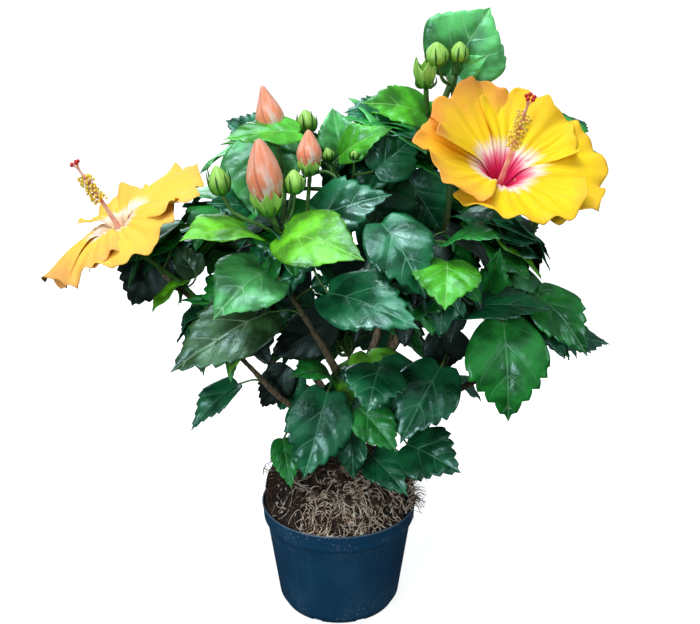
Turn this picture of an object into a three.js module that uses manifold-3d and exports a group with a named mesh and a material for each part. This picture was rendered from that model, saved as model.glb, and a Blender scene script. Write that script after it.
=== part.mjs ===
// A hibiscus shrub in a nursery pot: pot, potting mix, a short woody trunk, its boughs, the masses
// of foliage that they carry, and two large open blooms. Millimetres, +Z up. The origin is the
// middle of the pot's flat underside, +X is to the right of the shrub's front and -Y is its front.

import * as THREE from "three";
import { mergeVertices } from "three/addons/utils/BufferGeometryUtils.js";
import Module from "manifold-3d";

const wasm = await Module();
wasm.setup();

// ---------------------------------------------------------------- driving dimensions

const GAP = 0.4; // air left between two pieces that meet
const SMOOTHING = 0.12; // how far a cut surface may move when its smallest facets are merged

const POT = {
  height: 108,
  rimRadius: 75,
  bandHeight: 16, // the upright band under the rim
  bandTaper: 1.5,
  shoulder: 4, // how far the wall steps in under the band, and how tall that step is
  footRadius: 59, // where the wall ends and the bottom edge begins
  footHeight: 8,
  baseRadius: 54,
  wall: 1.8,
  floor: 3,
  sides: 32,
};
const NOTCH = { count: 8, width: 9, height: 5.5 }; // drain notches in the bottom edge

const MIX = {
  crown: 132, // height of the heap at the trunk
  slope: 0.14, // the root ball stands higher at the back
  shoulderWidth: 26, // ring over which the heap drops to the pot's wall
  edgeDrop: 7, // how far the mix lies under the rim at the front
  edgeRise: 30, // how much higher the root ball's edge stands at the back
  edgeFront: -50, // where along Y the edge begins to rise
  edgeBack: 40, // and where it is at its highest
  flatRadius: 24, // level ground round the trunk's foot
  rings: 6,
  sides: POT.sides, // as many as the pot, so that the gap between them is even
};

const TRUNK = {
  foot: new THREE.Vector3(10, 6, MIX.crown + GAP),
  fork: new THREE.Vector3(14, 0, 208),
  footRadius: 7,
  forkRadius: 5,
  flare: 4, // extra radius of the root flare
  sides: 10,
  rings: 7,
};

const BOUGH = { footRadius: 4.2, tipRadius: 2.6, collar: 1, sides: 7, rings: 8 };

// Each mass of foliage: its middle, its half sizes and the seed of its uneven surface.
const MASSES = [
  { name: "foliage_top_spray", at: [101, 2, 541], half: [37, 24, 34], seed: 1 },
  { name: "foliage_bud_spray", at: [-52, -34, 450], half: [46, 32, 56], seed: 2 },
  { name: "foliage_front_left", at: [-50, -82, 362], half: [76, 62, 54], seed: 3 },
  { name: "foliage_front_centre", at: [54, -100, 344], half: [84, 68, 64], seed: 4 },
  { name: "foliage_low_front", at: [32, -70, 198], half: [84, 70, 66], seed: 5 },
  { name: "foliage_left", at: [-92, -16, 262], half: [68, 84, 76], seed: 6 },
  { name: "foliage_far_left", at: [-164, 26, 328], half: [60, 46, 40], seed: 7 },
  { name: "foliage_upper_left", at: [-60, 40, 422], half: [68, 72, 54], seed: 8 },
  { name: "foliage_upper_middle", at: [36, 36, 436], half: [72, 76, 64], seed: 9 },
  { name: "foliage_right", at: [136, 12, 350], half: [74, 76, 62], seed: 10 },
  { name: "foliage_right_low", at: [172, -24, 272], half: [88, 82, 56], seed: 11 },
  { name: "foliage_back_left", at: [-76, 98, 326], half: [86, 74, 86], seed: 12 },
  { name: "foliage_back_right", at: [78, 102, 348], half: [92, 74, 88], seed: 13 },
  { name: "foliage_back_spray", at: [188, 66, 434], half: [50, 40, 40], seed: 14 },
  { name: "foliage_back_low", at: [10, 84, 226], half: [86, 58, 62], seed: 15 },
];
const LUMPS = { base: 0.93, broad: 0.08, fine: 0.06, detail: 3, smallDetail: 2, small: 77 };

// Each bough: the share of the trunk's height where it leaves, the mass or bloom that it enters,
// and how far its middle bows away from the straight line.
const BOUGHS = [
  { name: "bough_front_left", leaves: 0.96, into: "foliage_front_left", bow: [14, 14, 6] },
  { name: "bough_centre", leaves: 0.92, into: "foliage_upper_middle", bow: [16, 6, -14] },
  { name: "bough_tall", leaves: 0.84, into: "foliage_top_spray", bow: [36, 16, -16] },
  { name: "bough_left", leaves: 0.78, into: "foliage_far_left", bow: [10, 10, -20] },
  { name: "bough_right", leaves: 0.74, into: "bloom_right", bow: [26, -14, -34] },
  { name: "bough_right_low", leaves: 0.6, into: "foliage_right_low", bow: [0, 8, -12] },
  { name: "bough_left_low", leaves: 0.5, into: "foliage_left", bow: [-6, 4, -10] },
  { name: "bough_back_left", leaves: 0.66, into: "foliage_back_left", bow: [-8, 6, -16] },
  { name: "bough_back_right", leaves: 0.7, into: "foliage_back_right", bow: [6, 8, -22] },
  { name: "bough_back_low", leaves: 0.42, into: "foliage_back_low", bow: [0, 8, -8] },
];

// Each open bloom: the middle of its throat, the way it faces, its petals' reach, how far the
// petals' edge stands above the throat and how far the column of stamens reaches.
const BLOOMS = [
  {
    name: "bloom_right",
    throat: [142, -45, 438],
    faces: [0.08, -0.51, 0.86],
    reach: 82,
    cup: 28,
    column: 86,
  },
  {
    name: "bloom_left",
    throat: [-195, -12, 386],
    faces: [-0.47, -0.2, 0.86],
    reach: 80,
    cup: 6,
    column: 68,
  },
];
const PETALS = { count: 5, lobe: 0.07, thickness: 6, funnel: 36, throatRadius: 9, sides: 20 };
const COLUMN_RADIUS = 5;

const COLOURS = {
  pot: { color: 0x1c2a38, roughness: 0.5, metalness: 0 },
  mix: { color: 0x3a2a20, roughness: 0.95, metalness: 0 },
  wood: { color: 0x6e5a44, roughness: 0.8, metalness: 0 },
  foliage: { color: 0x1f5a26, roughness: 0.4, metalness: 0 },
  petal: { color: 0xf6a623, roughness: 0.6, metalness: 0 },
};

// ---------------------------------------------------------------- solids and meshes

/** A closed three.js geometry as a manifold-3d solid. */
function solidOf(geometry) {
  const bare = geometry.clone();
  bare.deleteAttribute("normal");
  bare.deleteAttribute("uv");
  const merged = mergeVertices(bare, 1e-3);
  return new wasm.Manifold(
    new wasm.Mesh({
      numProp: 3,
      vertProperties: new Float32Array(merged.attributes.position.array),
      triVerts: new Uint32Array(merged.index.array),
    }),
  );
}

/** A solid's surface as a three.js geometry. */
function geometryOf(solid) {
  const { vertProperties, triVerts } = solid.getMesh();
  return new THREE.BufferGeometry()
    .setAttribute("position", new THREE.BufferAttribute(vertProperties, 3))
    .setIndex(new THREE.BufferAttribute(triVerts, 1));
}

/** A named mesh of one solid. */
function meshOf(name, solid, colour) {
  const geometry = geometryOf(solid);
  geometry.computeVertexNormals();
  const mesh = new THREE.Mesh(geometry, new THREE.MeshStandardMaterial(colour));
  mesh.name = name;
  return mesh;
}

/** What is left of a solid once the others are cut from it: its largest body, made simple. */
function cutBy(solid, others) {
  const cut = others.reduce((left, other) => left.subtract(other), solid);
  const largest = cut.decompose().sort((a, b) => b.volume() - a.volume())[0];
  return largest.simplify(SMOOTHING);
}

/** A closed mesh over rings of points, all with the same count, capped at both ends. */
function ringSolid(rings) {
  const sides = rings[0].length;
  const points = rings.flat();
  const first = points.length;
  const last = first + 1;
  const middle = (ring) =>
    ring.reduce((sum, p) => sum.add(p), new THREE.Vector3()).divideScalar(sides);
  points.push(middle(rings[0]), middle(rings.at(-1)));
  const faces = [];
  for (let side = 0; side < sides; side++) {
    const next = (side + 1) % sides;
    faces.push(first, next, side);
    const top = (rings.length - 1) * sides;
    faces.push(last, top + side, top + next);
    for (let ring = 0; ring < rings.length - 1; ring++) {
      const low = ring * sides;
      const high = low + sides;
      faces.push(low + side, low + next, high + next);
      faces.push(low + side, high + next, high + side);
    }
  }
  const flat = points.flatMap((p) => [p.x, p.y, p.z]);
  return solidOf(
    new THREE.BufferGeometry()
      .setAttribute("position", new THREE.Float32BufferAttribute(flat, 3))
      .setIndex(faces),
  );
}

// ---------------------------------------------------------------- pot and potting mix

/** The pot's outer or inner profile, from its floor to its rim, moved in by `inset`. */
function potProfile(inset, bottom) {
  const { height, rimRadius, bandHeight, bandTaper, shoulder } = POT;
  const bandFoot = height - bandHeight;
  return [
    new THREE.Vector2(POT.baseRadius - inset, bottom),
    new THREE.Vector2(POT.footRadius - inset, POT.footHeight),
    new THREE.Vector2(rimRadius - bandTaper - shoulder - inset, bandFoot - shoulder),
    new THREE.Vector2(rimRadius - bandTaper - inset, bandFoot),
    new THREE.Vector2(rimRadius - inset, height),
  ];
}

/** The pot: a tapered wall with a band under the rim, a flat floor and drain notches. */
function pot() {
  const axisPoint = (z) => new THREE.Vector2(0, z);
  const outside = potProfile(0, 0);
  const inside = potProfile(POT.wall, POT.floor).reverse();
  const profile = [axisPoint(0), ...outside, ...inside, axisPoint(POT.floor)];
  const turned = new THREE.LatheGeometry(profile, POT.sides).rotateX(Math.PI / 2);
  let solid = solidOf(turned);
  for (let i = 0; i < NOTCH.count; i++) {
    const depth = POT.footRadius - POT.baseRadius + 3 * POT.wall;
    const block = new THREE.BoxGeometry(depth, NOTCH.width, 2 * NOTCH.height);
    block.translate(POT.baseRadius + depth / 2 - POT.wall, 0, 0);
    block.rotateZ(((i + 0.5) / NOTCH.count) * 2 * Math.PI);
    solid = solid.subtract(solidOf(block));
  }
  return meshOf("pot", solid, COLOURS.pot);
}

/** Height of the heaped mix at a place: level round the trunk, dropping at the wall. */
function heapHeight(x, y) {
  const wallRadius = POT.rimRadius - POT.wall - GAP;
  const fromWall = wallRadius - Math.hypot(x, y);
  const rise = THREE.MathUtils.smoothstep(fromWall, 0, MIX.shoulderWidth);
  const fromTrunk = Math.hypot(x - TRUNK.foot.x, y - TRUNK.foot.y);
  const level = THREE.MathUtils.smoothstep(fromTrunk, MIX.flatRadius, 2 * MIX.flatRadius);
  const top = MIX.crown + MIX.slope * (y - TRUNK.foot.y) * level;
  const behind = THREE.MathUtils.smoothstep(y, MIX.edgeFront, MIX.edgeBack);
  const edge = POT.height - MIX.edgeDrop + MIX.edgeRise * behind;
  return edge + (top - edge) * rise;
}

/** The potting mix: it fills the pot and stands above the rim as a sloping heap. */
function pottingMix() {
  const around = [...Array(MIX.sides).keys()].map((i) => (i / MIX.sides) * 2 * Math.PI);
  const ringAt = (radius, heightAt) =>
    around.map((turn) => {
      const x = radius * Math.cos(turn);
      const y = radius * Math.sin(turn);
      return new THREE.Vector3(x, y, heightAt(x, y));
    });
  const rings = potProfile(POT.wall + GAP, POT.floor + GAP)
    .slice(0, -1)
    .map(({ x, y }) => ringAt(x, () => y));
  const widest = Math.hypot(rings.at(-1)[0].x, rings.at(-1)[0].y);
  for (let i = 0; i < MIX.rings; i++) {
    rings.push(ringAt(widest * (1 - i / MIX.rings), heapHeight));
  }
  return meshOf("potting_mix", ringSolid(rings), COLOURS.mix);
}

// ---------------------------------------------------------------- trunk and boughs

/** A tapering limb along a smooth curve, with an extra flare or collar at its foot. */
function limb(points, { sides, rings, footRadius, tipRadius, flare, grow = 0 }) {
  const curve = new THREE.CatmullRomCurve3(points);
  const frames = curve.computeFrenetFrames(rings - 1);
  return ringSolid(
    [...Array(rings).keys()].map((ring) => {
      const along = ring / (rings - 1);
      const middle = curve.getPointAt(along);
      const radius =
        THREE.MathUtils.lerp(footRadius, tipRadius, along) +
        flare * Math.exp(-6 * along) +
        grow;
      return [...Array(sides).keys()].map((side) => {
        const turn = (side / sides) * 2 * Math.PI;
        return middle
          .clone()
          .addScaledVector(frames.normals[ring], radius * Math.cos(turn))
          .addScaledVector(frames.binormals[ring], radius * Math.sin(turn));
      });
    }),
  );
}

/** The trunk from its flat foot to the fork, larger all over by `grow`. */
function trunkSolid(grow = 0) {
  const middle = TRUNK.foot.clone().lerp(TRUNK.fork, 0.5).add(new THREE.Vector3(3, 2, 0));
  const whole = limb([TRUNK.foot, middle, TRUNK.fork], {
    ...TRUNK,
    tipRadius: TRUNK.forkRadius,
    grow,
  });
  const block = new THREE.BoxGeometry(400, 400, 400);
  block.translate(0, 0, TRUNK.foot.z + 200);
  return whole.intersect(solidOf(block));
}

/** The curve's points for a bough from the trunk to the middle of what it enters. */
function boughPoints({ leaves, bow }, target) {
  const start = TRUNK.foot.clone().lerp(TRUNK.fork, leaves);
  const middle = start.clone().lerp(target, 0.5).add(new THREE.Vector3(...bow));
  return [start, middle, target];
}

/** One bough, larger all over by `grow`. */
function boughSolid(bough, target, grow = 0) {
  return limb(boughPoints(bough, target), { ...BOUGH, flare: BOUGH.collar, grow });
}

// ---------------------------------------------------------------- foliage and blooms

/** One uneven mass of leaves: a ball pulled to its half sizes with lumps all over it. */
function massSolid({ at, half, seed }, grow = 0) {
  const detail = Math.max(...half) < LUMPS.small ? LUMPS.smallDetail : LUMPS.detail;
  const ball = new THREE.IcosahedronGeometry(1, detail);
  const points = ball.getAttribute("position");
  const p = new THREE.Vector3();
  for (let i = 0; i < points.count; i++) {
    p.fromBufferAttribute(points, i).normalize();
    const broad = Math.sin(3.3 * p.x + seed) * Math.cos(3.1 * p.y - 2 * seed + 1.2 * p.z);
    const fine = Math.sin(6.1 * p.x + 3 * seed) * Math.sin(5.7 * p.y - seed + 4.9 * p.z);
    p.multiplyScalar(LUMPS.base + LUMPS.broad * broad + LUMPS.fine * fine);
    points.setXYZ(
      i,
      at[0] + p.x * (half[0] + grow),
      at[1] + p.y * (half[1] + grow),
      at[2] + p.z * (half[2] + grow),
    );
  }
  return solidOf(ball);
}

/** A bloom's place: its throat at the given point, turned from +Z to the way that it faces. */
function bloomPlace({ throat, faces }) {
  const turn = new THREE.Quaternion().setFromUnitVectors(
    new THREE.Vector3(0, 0, 1),
    new THREE.Vector3(...faces).normalize(),
  );
  return new THREE.Matrix4().compose(
    new THREE.Vector3(...throat),
    turn,
    new THREE.Vector3(1, 1, 1),
  );
}

/** Half the outline of a bloom, larger by `grow`: calyx, funnel, spread petals and column. */
function bloomProfile({ reach, cup, column }, grow) {
  const { thickness, funnel, throatRadius } = PETALS;
  return [
    new THREE.Vector2(0, -funnel - grow),
    new THREE.Vector2(throatRadius * 0.8 + grow, -funnel - grow),
    new THREE.Vector2(throatRadius + grow, -funnel * 0.4),
    new THREE.Vector2(reach * 0.4 + grow, cup * 0.6 - thickness - grow),
    new THREE.Vector2(reach * 0.8, cup - thickness - grow),
    new THREE.Vector2(reach + grow, cup - thickness * 0.7),
    new THREE.Vector2(reach * 0.84, cup + grow),
    new THREE.Vector2(reach * 0.36, cup * 0.6 + grow),
    new THREE.Vector2(COLUMN_RADIUS + grow, 0),
    new THREE.Vector2(COLUMN_RADIUS + grow, column + grow),
    new THREE.Vector2(0, column + grow),
  ];
}

/** A bloom: five broad petals in one lobed funnel, with the column standing in its throat. */
function bloomSolid(bloom, grow = 0) {
  const turned = new THREE.LatheGeometry(bloomProfile(bloom, grow), PETALS.sides);
  turned.rotateX(Math.PI / 2);
  const points = turned.getAttribute("position");
  for (let i = 0; i < points.count; i++) {
    const [x, y] = [points.getX(i), points.getY(i)];
    const out = Math.hypot(x, y) / bloom.reach;
    const lobe = Math.min(1, out) ** 3 * Math.cos(PETALS.count * Math.atan2(y, x));
    points.setXY(i, x * (1 + PETALS.lobe * lobe), y * (1 + PETALS.lobe * lobe));
  }
  return solidOf(turned.applyMatrix4(bloomPlace(bloom)));
}

/** The point at the foot of a bloom's calyx, where its stalk ends. */
function calyxFoot(bloom) {
  return new THREE.Vector3(0, 0, -PETALS.funnel).applyMatrix4(bloomPlace(bloom));
}

// ---------------------------------------------------------------- the shrub

const shrub = new THREE.Group();
shrub.name = "hibiscus_shrub";
shrub.add(pot(), pottingMix(), meshOf("trunk", trunkSolid(), COLOURS.wood));

// The same pieces, each a little larger, which the pieces made after them are cut by.
const grownWood = [trunkSolid(GAP)];
const grownBlooms = BLOOMS.map((bloom) => bloomSolid(bloom, GAP));
const grownMasses = [];

// What the boughs end in, by name: the point that they make for and the enlarged solid.
const ends = new Map();
for (const mass of MASSES) {
  ends.set(mass.name, { point: new THREE.Vector3(...mass.at), grown: massSolid(mass, GAP) });
}
BLOOMS.forEach((bloom, i) => {
  ends.set(bloom.name, { point: calyxFoot(bloom), grown: grownBlooms[i] });
});

for (const bough of BOUGHS) {
  const { point, grown } = ends.get(bough.into);
  const others = [...grownWood, ...grownBlooms, grown];
  shrub.add(meshOf(bough.name, cutBy(boughSolid(bough, point), others), COLOURS.wood));
  grownWood.push(cutBy(boughSolid(bough, point, GAP), [grown]));
}

for (const bloom of BLOOMS) {
  shrub.add(meshOf(bloom.name, bloomSolid(bloom), COLOURS.petal));
}

for (const mass of MASSES) {
  const others = [...grownWood, ...grownBlooms, ...grownMasses];
  shrub.add(meshOf(mass.name, cutBy(massSolid(mass), others), COLOURS.foliage));
  grownMasses.push(ends.get(mass.name).grown);
}

export default shrub;
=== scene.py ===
"""A hibiscus shrub in a nursery pot: toothed glossy leaves, salmon buds and two open blooms.

Every size here is in millimetres, in the model's own frame, and becomes metres when a mesh is made.
The masses of foliage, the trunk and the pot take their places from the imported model's boxes.
"""

from __future__ import annotations

import logging
import math
from dataclasses import dataclass, field
from enum import Enum

import bpy
import numpy as np
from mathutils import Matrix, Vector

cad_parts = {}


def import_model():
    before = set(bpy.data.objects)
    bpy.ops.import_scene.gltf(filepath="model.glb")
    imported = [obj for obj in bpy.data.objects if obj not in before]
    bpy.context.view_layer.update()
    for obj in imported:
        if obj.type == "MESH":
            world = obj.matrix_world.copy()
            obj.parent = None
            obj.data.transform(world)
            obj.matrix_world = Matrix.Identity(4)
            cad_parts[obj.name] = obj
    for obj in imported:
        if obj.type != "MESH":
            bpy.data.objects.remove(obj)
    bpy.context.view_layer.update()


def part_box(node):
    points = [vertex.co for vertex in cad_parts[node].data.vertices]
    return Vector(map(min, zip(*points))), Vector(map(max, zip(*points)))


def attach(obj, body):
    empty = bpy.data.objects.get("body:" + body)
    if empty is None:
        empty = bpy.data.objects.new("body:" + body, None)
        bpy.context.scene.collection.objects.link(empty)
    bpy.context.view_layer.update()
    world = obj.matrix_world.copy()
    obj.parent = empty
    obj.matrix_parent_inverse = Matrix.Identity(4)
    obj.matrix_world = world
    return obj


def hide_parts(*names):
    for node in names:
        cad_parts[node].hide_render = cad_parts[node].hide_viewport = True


MM = 0.001
SEED = 4711
UP = np.array([0.0, 0.0, 1.0])
LOG = logging.getLogger("hibiscus")

Triple = tuple[float, float, float]
Five = tuple[float, float, float, float, float]


# ---------------------------------------------------------------- small geometry helpers


def unit(vector: np.ndarray) -> np.ndarray:
    """A vector's direction, with length 1."""
    return vector / max(float(np.linalg.norm(vector)), 1e-9)


def smooth(low: float, high: float, value: np.ndarray | float) -> np.ndarray:
    """A soft step from 0 at low to 1 at high."""
    x = np.clip((np.asarray(value, dtype=float) - low) / (high - low), 0.0, 1.0)
    return x * x * (3.0 - 2.0 * x)


def node_box(name: str) -> tuple[np.ndarray, np.ndarray]:
    """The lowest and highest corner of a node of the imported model, in millimetres."""
    low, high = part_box(name)
    return np.array(low) / MM, np.array(high) / MM


def curve_through(points: list[Triple] | np.ndarray, count: int) -> np.ndarray:
    """A smooth path through a few points.

    Args:
        points: The points that the path passes through.
        count: How many evenly spread points the path gets.

    Returns:
        An array of the path's points, one per row.
    """
    knots = np.asarray(points, dtype=float)
    padded = np.vstack([2 * knots[0] - knots[1], knots, 2 * knots[-1] - knots[-2]])
    fine = []
    for i in range(len(knots) - 1):
        a, b, c, d = padded[i : i + 4]
        t = np.linspace(0.0, 1.0, 17)[:, None]
        fine.append(
            0.5
            * (
                2 * b
                + (c - a) * t
                + (2 * a - 5 * b + 4 * c - d) * t**2
                + (3 * b - a - 3 * c + d) * t**3
            )
        )
    dense = np.vstack(fine)
    steps = np.linalg.norm(np.diff(dense, axis=0), axis=1)
    run = np.concatenate([[0.0], np.cumsum(steps)])
    even = np.linspace(0.0, run[-1], count)
    return np.stack([np.interp(even, run, dense[:, k]) for k in range(3)], axis=1)


@dataclass
class Frame:
    """A place with three directions, which a shape made about the origin is put at."""

    origin: np.ndarray
    side: np.ndarray
    along: np.ndarray
    face: np.ndarray

    @classmethod
    def looking(cls, origin: np.ndarray, along: np.ndarray, hint: np.ndarray) -> "Frame":
        """A frame from its origin, its long direction and roughly where its face looks.

        Args:
            origin: Where it stands.
            along: Its long direction.
            hint: Roughly where its face looks.

        Returns:
            The frame.
        """
        axis = unit(along)
        face = hint - axis * float(hint @ axis)
        if np.linalg.norm(face) < 1e-3:
            face = np.array([0.3, -1.0, 0.2]) - axis * float(np.array([0.3, -1.0, 0.2]) @ axis)
        face = unit(face)
        return cls(np.asarray(origin, dtype=float), np.cross(axis, face), axis, face)

    @classmethod
    def facing(cls, origin: Triple | np.ndarray, face: np.ndarray) -> "Frame":
        """A frame for a turned shape: its face is its axis and its side points right.

        Args:
            origin: Where it stands.
            face: Its axis.

        Returns:
            The frame.
        """
        axis = unit(np.asarray(face, dtype=float))
        right = np.array([1.0, 0.0, 0.0])
        side = unit(right - axis * float(right @ axis))
        return cls(np.asarray(origin, dtype=float), side, np.cross(axis, side), axis)

    def put(self, points: np.ndarray) -> np.ndarray:
        """Points made about the origin, moved to the frame."""
        basis = np.stack([self.side, self.along, self.face])
        return self.origin + points @ basis


# ---------------------------------------------------------------- gathered meshes


@dataclass
class Sheaf:
    """Many small shapes gathered into one mesh, with a place on the shape kept at each point."""

    points: list[np.ndarray] = field(default_factory=list)
    places: list[np.ndarray] = field(default_factory=list)
    faces: list[np.ndarray] = field(default_factory=list)
    slots: list[np.ndarray] = field(default_factory=list)
    count: int = 0

    def add(
        self,
        points: np.ndarray,
        faces: list[np.ndarray],
        places: np.ndarray | None = None,
        slots: list[int] | None = None,
    ) -> None:
        """Add one shape.

        Args:
            points: Its points, one per row, in millimetres.
            faces: Arrays of faces, each with one face per row.
            places: A place on the shape for each point, which materials read.
            slots: The material slot of each array of faces, 0 if left out.
        """
        self.points.append(points)
        self.places.append(np.zeros_like(points) if places is None else places)
        for i, group in enumerate(faces):
            self.faces.append(group + self.count)
            self.slots.append(np.full(len(group), 0 if slots is None else slots[i]))
        self.count += len(points)

    def piece(
        self,
        name: str,
        materials: list[bpy.types.Material],
        slot: str,
        replaces: tuple[str, ...] = (),
    ) -> bpy.types.Object | None:
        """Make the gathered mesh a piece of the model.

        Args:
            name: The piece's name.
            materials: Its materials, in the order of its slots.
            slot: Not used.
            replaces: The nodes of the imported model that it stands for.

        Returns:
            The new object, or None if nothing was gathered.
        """
        if not self.points:
            return None
        mesh = bpy.data.meshes.new(name)
        co = np.vstack(self.points) * MM
        loops = np.concatenate([group.ravel() for group in self.faces])
        sizes = np.concatenate([np.full(len(g), g.shape[1]) for g in self.faces])
        mesh.vertices.add(len(co))
        mesh.vertices.foreach_set("co", co.ravel())
        mesh.loops.add(len(loops))
        mesh.loops.foreach_set("vertex_index", loops.astype(np.int32))
        mesh.polygons.add(len(sizes))
        starts = np.concatenate([[0], np.cumsum(sizes)[:-1]])
        mesh.polygons.foreach_set("loop_start", starts.astype(np.int32))
        mesh.polygons.foreach_set("material_index", np.concatenate(self.slots).astype(np.int32))
        place = mesh.attributes.new("place", "FLOAT_VECTOR", "POINT")
        place.data.foreach_set("vector", np.vstack(self.places).ravel())
        mesh.update(calc_edges=True)
        mesh.validate()
        mesh.shade_smooth()
        for material in materials:
            mesh.materials.append(material)
        piece = bpy.data.objects.new(name, mesh)
        bpy.context.scene.collection.objects.link(piece)
        return adopt(piece, replaces)


def adopt(
    piece: bpy.types.Object, replaces: tuple[str, ...] = ()
) -> bpy.types.Object:
    """Fix a piece to the model.

    Args:
        piece: The finished object.
        replaces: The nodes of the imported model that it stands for.

    Returns:
        The same object.
    """
    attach(piece, "root")
    if replaces:
        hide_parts(*replaces)
    LOG.info("%s: %d faces", piece.name, len(piece.data.polygons))
    return piece


def pick(*pieces: bpy.types.Object) -> None:
    """Select the given pieces and nothing else, with the first as the active one."""
    bpy.ops.object.select_all(action="DESELECT")
    for piece in pieces:
        piece.select_set(True)
    bpy.context.view_layer.objects.active = pieces[0]


def draw_ring(scale: float, rise: float) -> None:
    """Draw the selected ring out into the next one, scaled about the axis and raised."""
    bpy.ops.mesh.extrude_region_move(TRANSFORM_OT_translate={"value": (0, 0, rise)})
    bpy.ops.transform.resize(value=(scale, scale, 1.0), center_override=(0, 0, 0))


def raise_relief(
    piece: bpy.types.Object, layers: tuple[tuple[str, float, float], ...], group: str = ""
) -> None:
    """Raise layers of relief on the active piece, and apply them.

    Args:
        piece: The piece.
        layers: Each layer's name, its grain in metres and its strength in millimetres.
        group: The vertex group that is raised, straight up, or nothing for the whole piece.
    """
    for name, grain, strength in layers:
        clouds = bpy.data.textures.new(name, "CLOUDS")
        clouds.noise_scale = grain
        raised = piece.modifiers.new(name, "DISPLACE")
        raised.texture = clouds
        raised.texture_coords = "LOCAL"
        raised.strength = strength * MM
        if group:
            raised.direction = "Z"
            raised.vertex_group = group
        bpy.ops.object.modifier_apply(modifier=raised.name)


def grid_faces(rows: int, columns: int, closed: bool = False) -> np.ndarray:
    """Four-sided faces over a grid of points.

    Args:
        rows: How many rows of points there are.
        columns: How many points each row has.
        closed: Whether each row runs round to its own start.

    Returns:
        The faces, facing the way of column direction crossed with row direction.
    """
    last = columns if closed else columns - 1
    row, column = np.meshgrid(np.arange(rows - 1), np.arange(last), indexing="ij")
    right = (column + 1) % columns
    quad = np.stack(
        [
            row * columns + column,
            row * columns + right,
            (row + 1) * columns + right,
            (row + 1) * columns + column,
        ],
        axis=-1,
    )
    return quad.reshape(-1, 4)


def shell_faces(rows: int, columns: int) -> tuple[np.ndarray, np.ndarray]:
    """Faces of a thin shell: an upper grid, then the same grid again beneath it.

    Args:
        rows: How many rows of points each grid has.
        columns: How many points each row has.

    Returns:
        The upper faces, and the under faces with the rim between the two.
    """
    upper = grid_faces(rows, columns)
    beneath = upper[:, ::-1] + rows * columns
    edge = np.concatenate(
        [
            np.arange(columns),
            np.arange(1, rows) * columns + columns - 1,
            (rows - 1) * columns + np.arange(columns - 2, -1, -1),
            np.arange(rows - 2, 0, -1) * columns,
        ]
    )
    after = np.roll(edge, -1)
    rim = np.stack([edge + rows * columns, after + rows * columns, after, edge], axis=-1)
    return upper, np.vstack([beneath, rim])


def tube(path: np.ndarray, radii: np.ndarray, sides: int) -> tuple[np.ndarray, list, np.ndarray]:
    """A round tube along a path, closed at both ends.

    Args:
        path: The points of its middle line.
        radii: Its radius at each of them.
        sides: How many sides it has.

    Returns:
        Its points, its arrays of faces, and each point's place: along, around and radius.
    """
    ways = np.gradient(path, axis=0)
    ways /= np.maximum(np.linalg.norm(ways, axis=1), 1e-9)[:, None]
    start = np.array([1.0, 0.0, 0.0]) if abs(ways[0][0]) < 0.8 else np.array([0.0, 1.0, 0.0])
    normals = np.empty_like(path)
    current = start
    for i, way in enumerate(ways):
        current = unit(current - way * float(current @ way))
        normals[i] = current
    binormals = np.cross(ways, normals)
    turns = np.linspace(0.0, 2 * math.pi, sides, endpoint=False)
    ring = (
        normals[:, None, :] * np.cos(turns)[None, :, None]
        + binormals[:, None, :] * np.sin(turns)[None, :, None]
    )
    points = path[:, None, :] + ring * radii[:, None, None]
    run = np.linspace(0.0, 1.0, len(path))
    place = np.stack(
        np.broadcast_arrays(run[:, None], turns[None, :] / (2 * math.pi), radii[:, None]), axis=-1
    )
    first = np.arange(sides)[None, ::-1]
    last = np.arange(sides)[None, :] + (len(path) - 1) * sides
    faces = [grid_faces(len(path), sides, closed=True), first, last]
    return points.reshape(-1, 3), faces, place.reshape(-1, 3)


def turned(
    radii: np.ndarray, heights: np.ndarray, sides: int
) -> tuple[np.ndarray, list, np.ndarray]:
    """A shape turned about its axis.

    Args:
        radii: Radius of each ring, or of each point of each ring.
        heights: Height of each ring, or of each point of each ring.
        sides: How many points a ring has.

    Returns:
        Its points with the axis as their third coordinate, its arrays of faces, and each
        point's place: along the profile, around, and 0.
    """
    turns = np.linspace(0.0, 2 * math.pi, sides, endpoint=False)
    rings = len(radii)
    radius = np.broadcast_to(np.reshape(radii, (rings, -1)), (rings, sides))
    height = np.broadcast_to(np.reshape(heights, (rings, -1)), (rings, sides))
    points = np.stack([radius * np.cos(turns), radius * np.sin(turns), height], axis=-1)
    run = np.linspace(0.0, 1.0, rings)[:, None]
    place = np.stack(
        np.broadcast_arrays(run, turns[None, :] / (2 * math.pi), np.zeros((1, 1))), axis=-1
    )
    first = np.arange(sides)[None, ::-1]
    last = np.arange(sides)[None, :] + (rings - 1) * sides
    faces = [grid_faces(rings, sides, closed=True), first, last]
    return points.reshape(-1, 3), faces, place.reshape(-1, 3)


# ---------------------------------------------------------------- shader nodes


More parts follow.
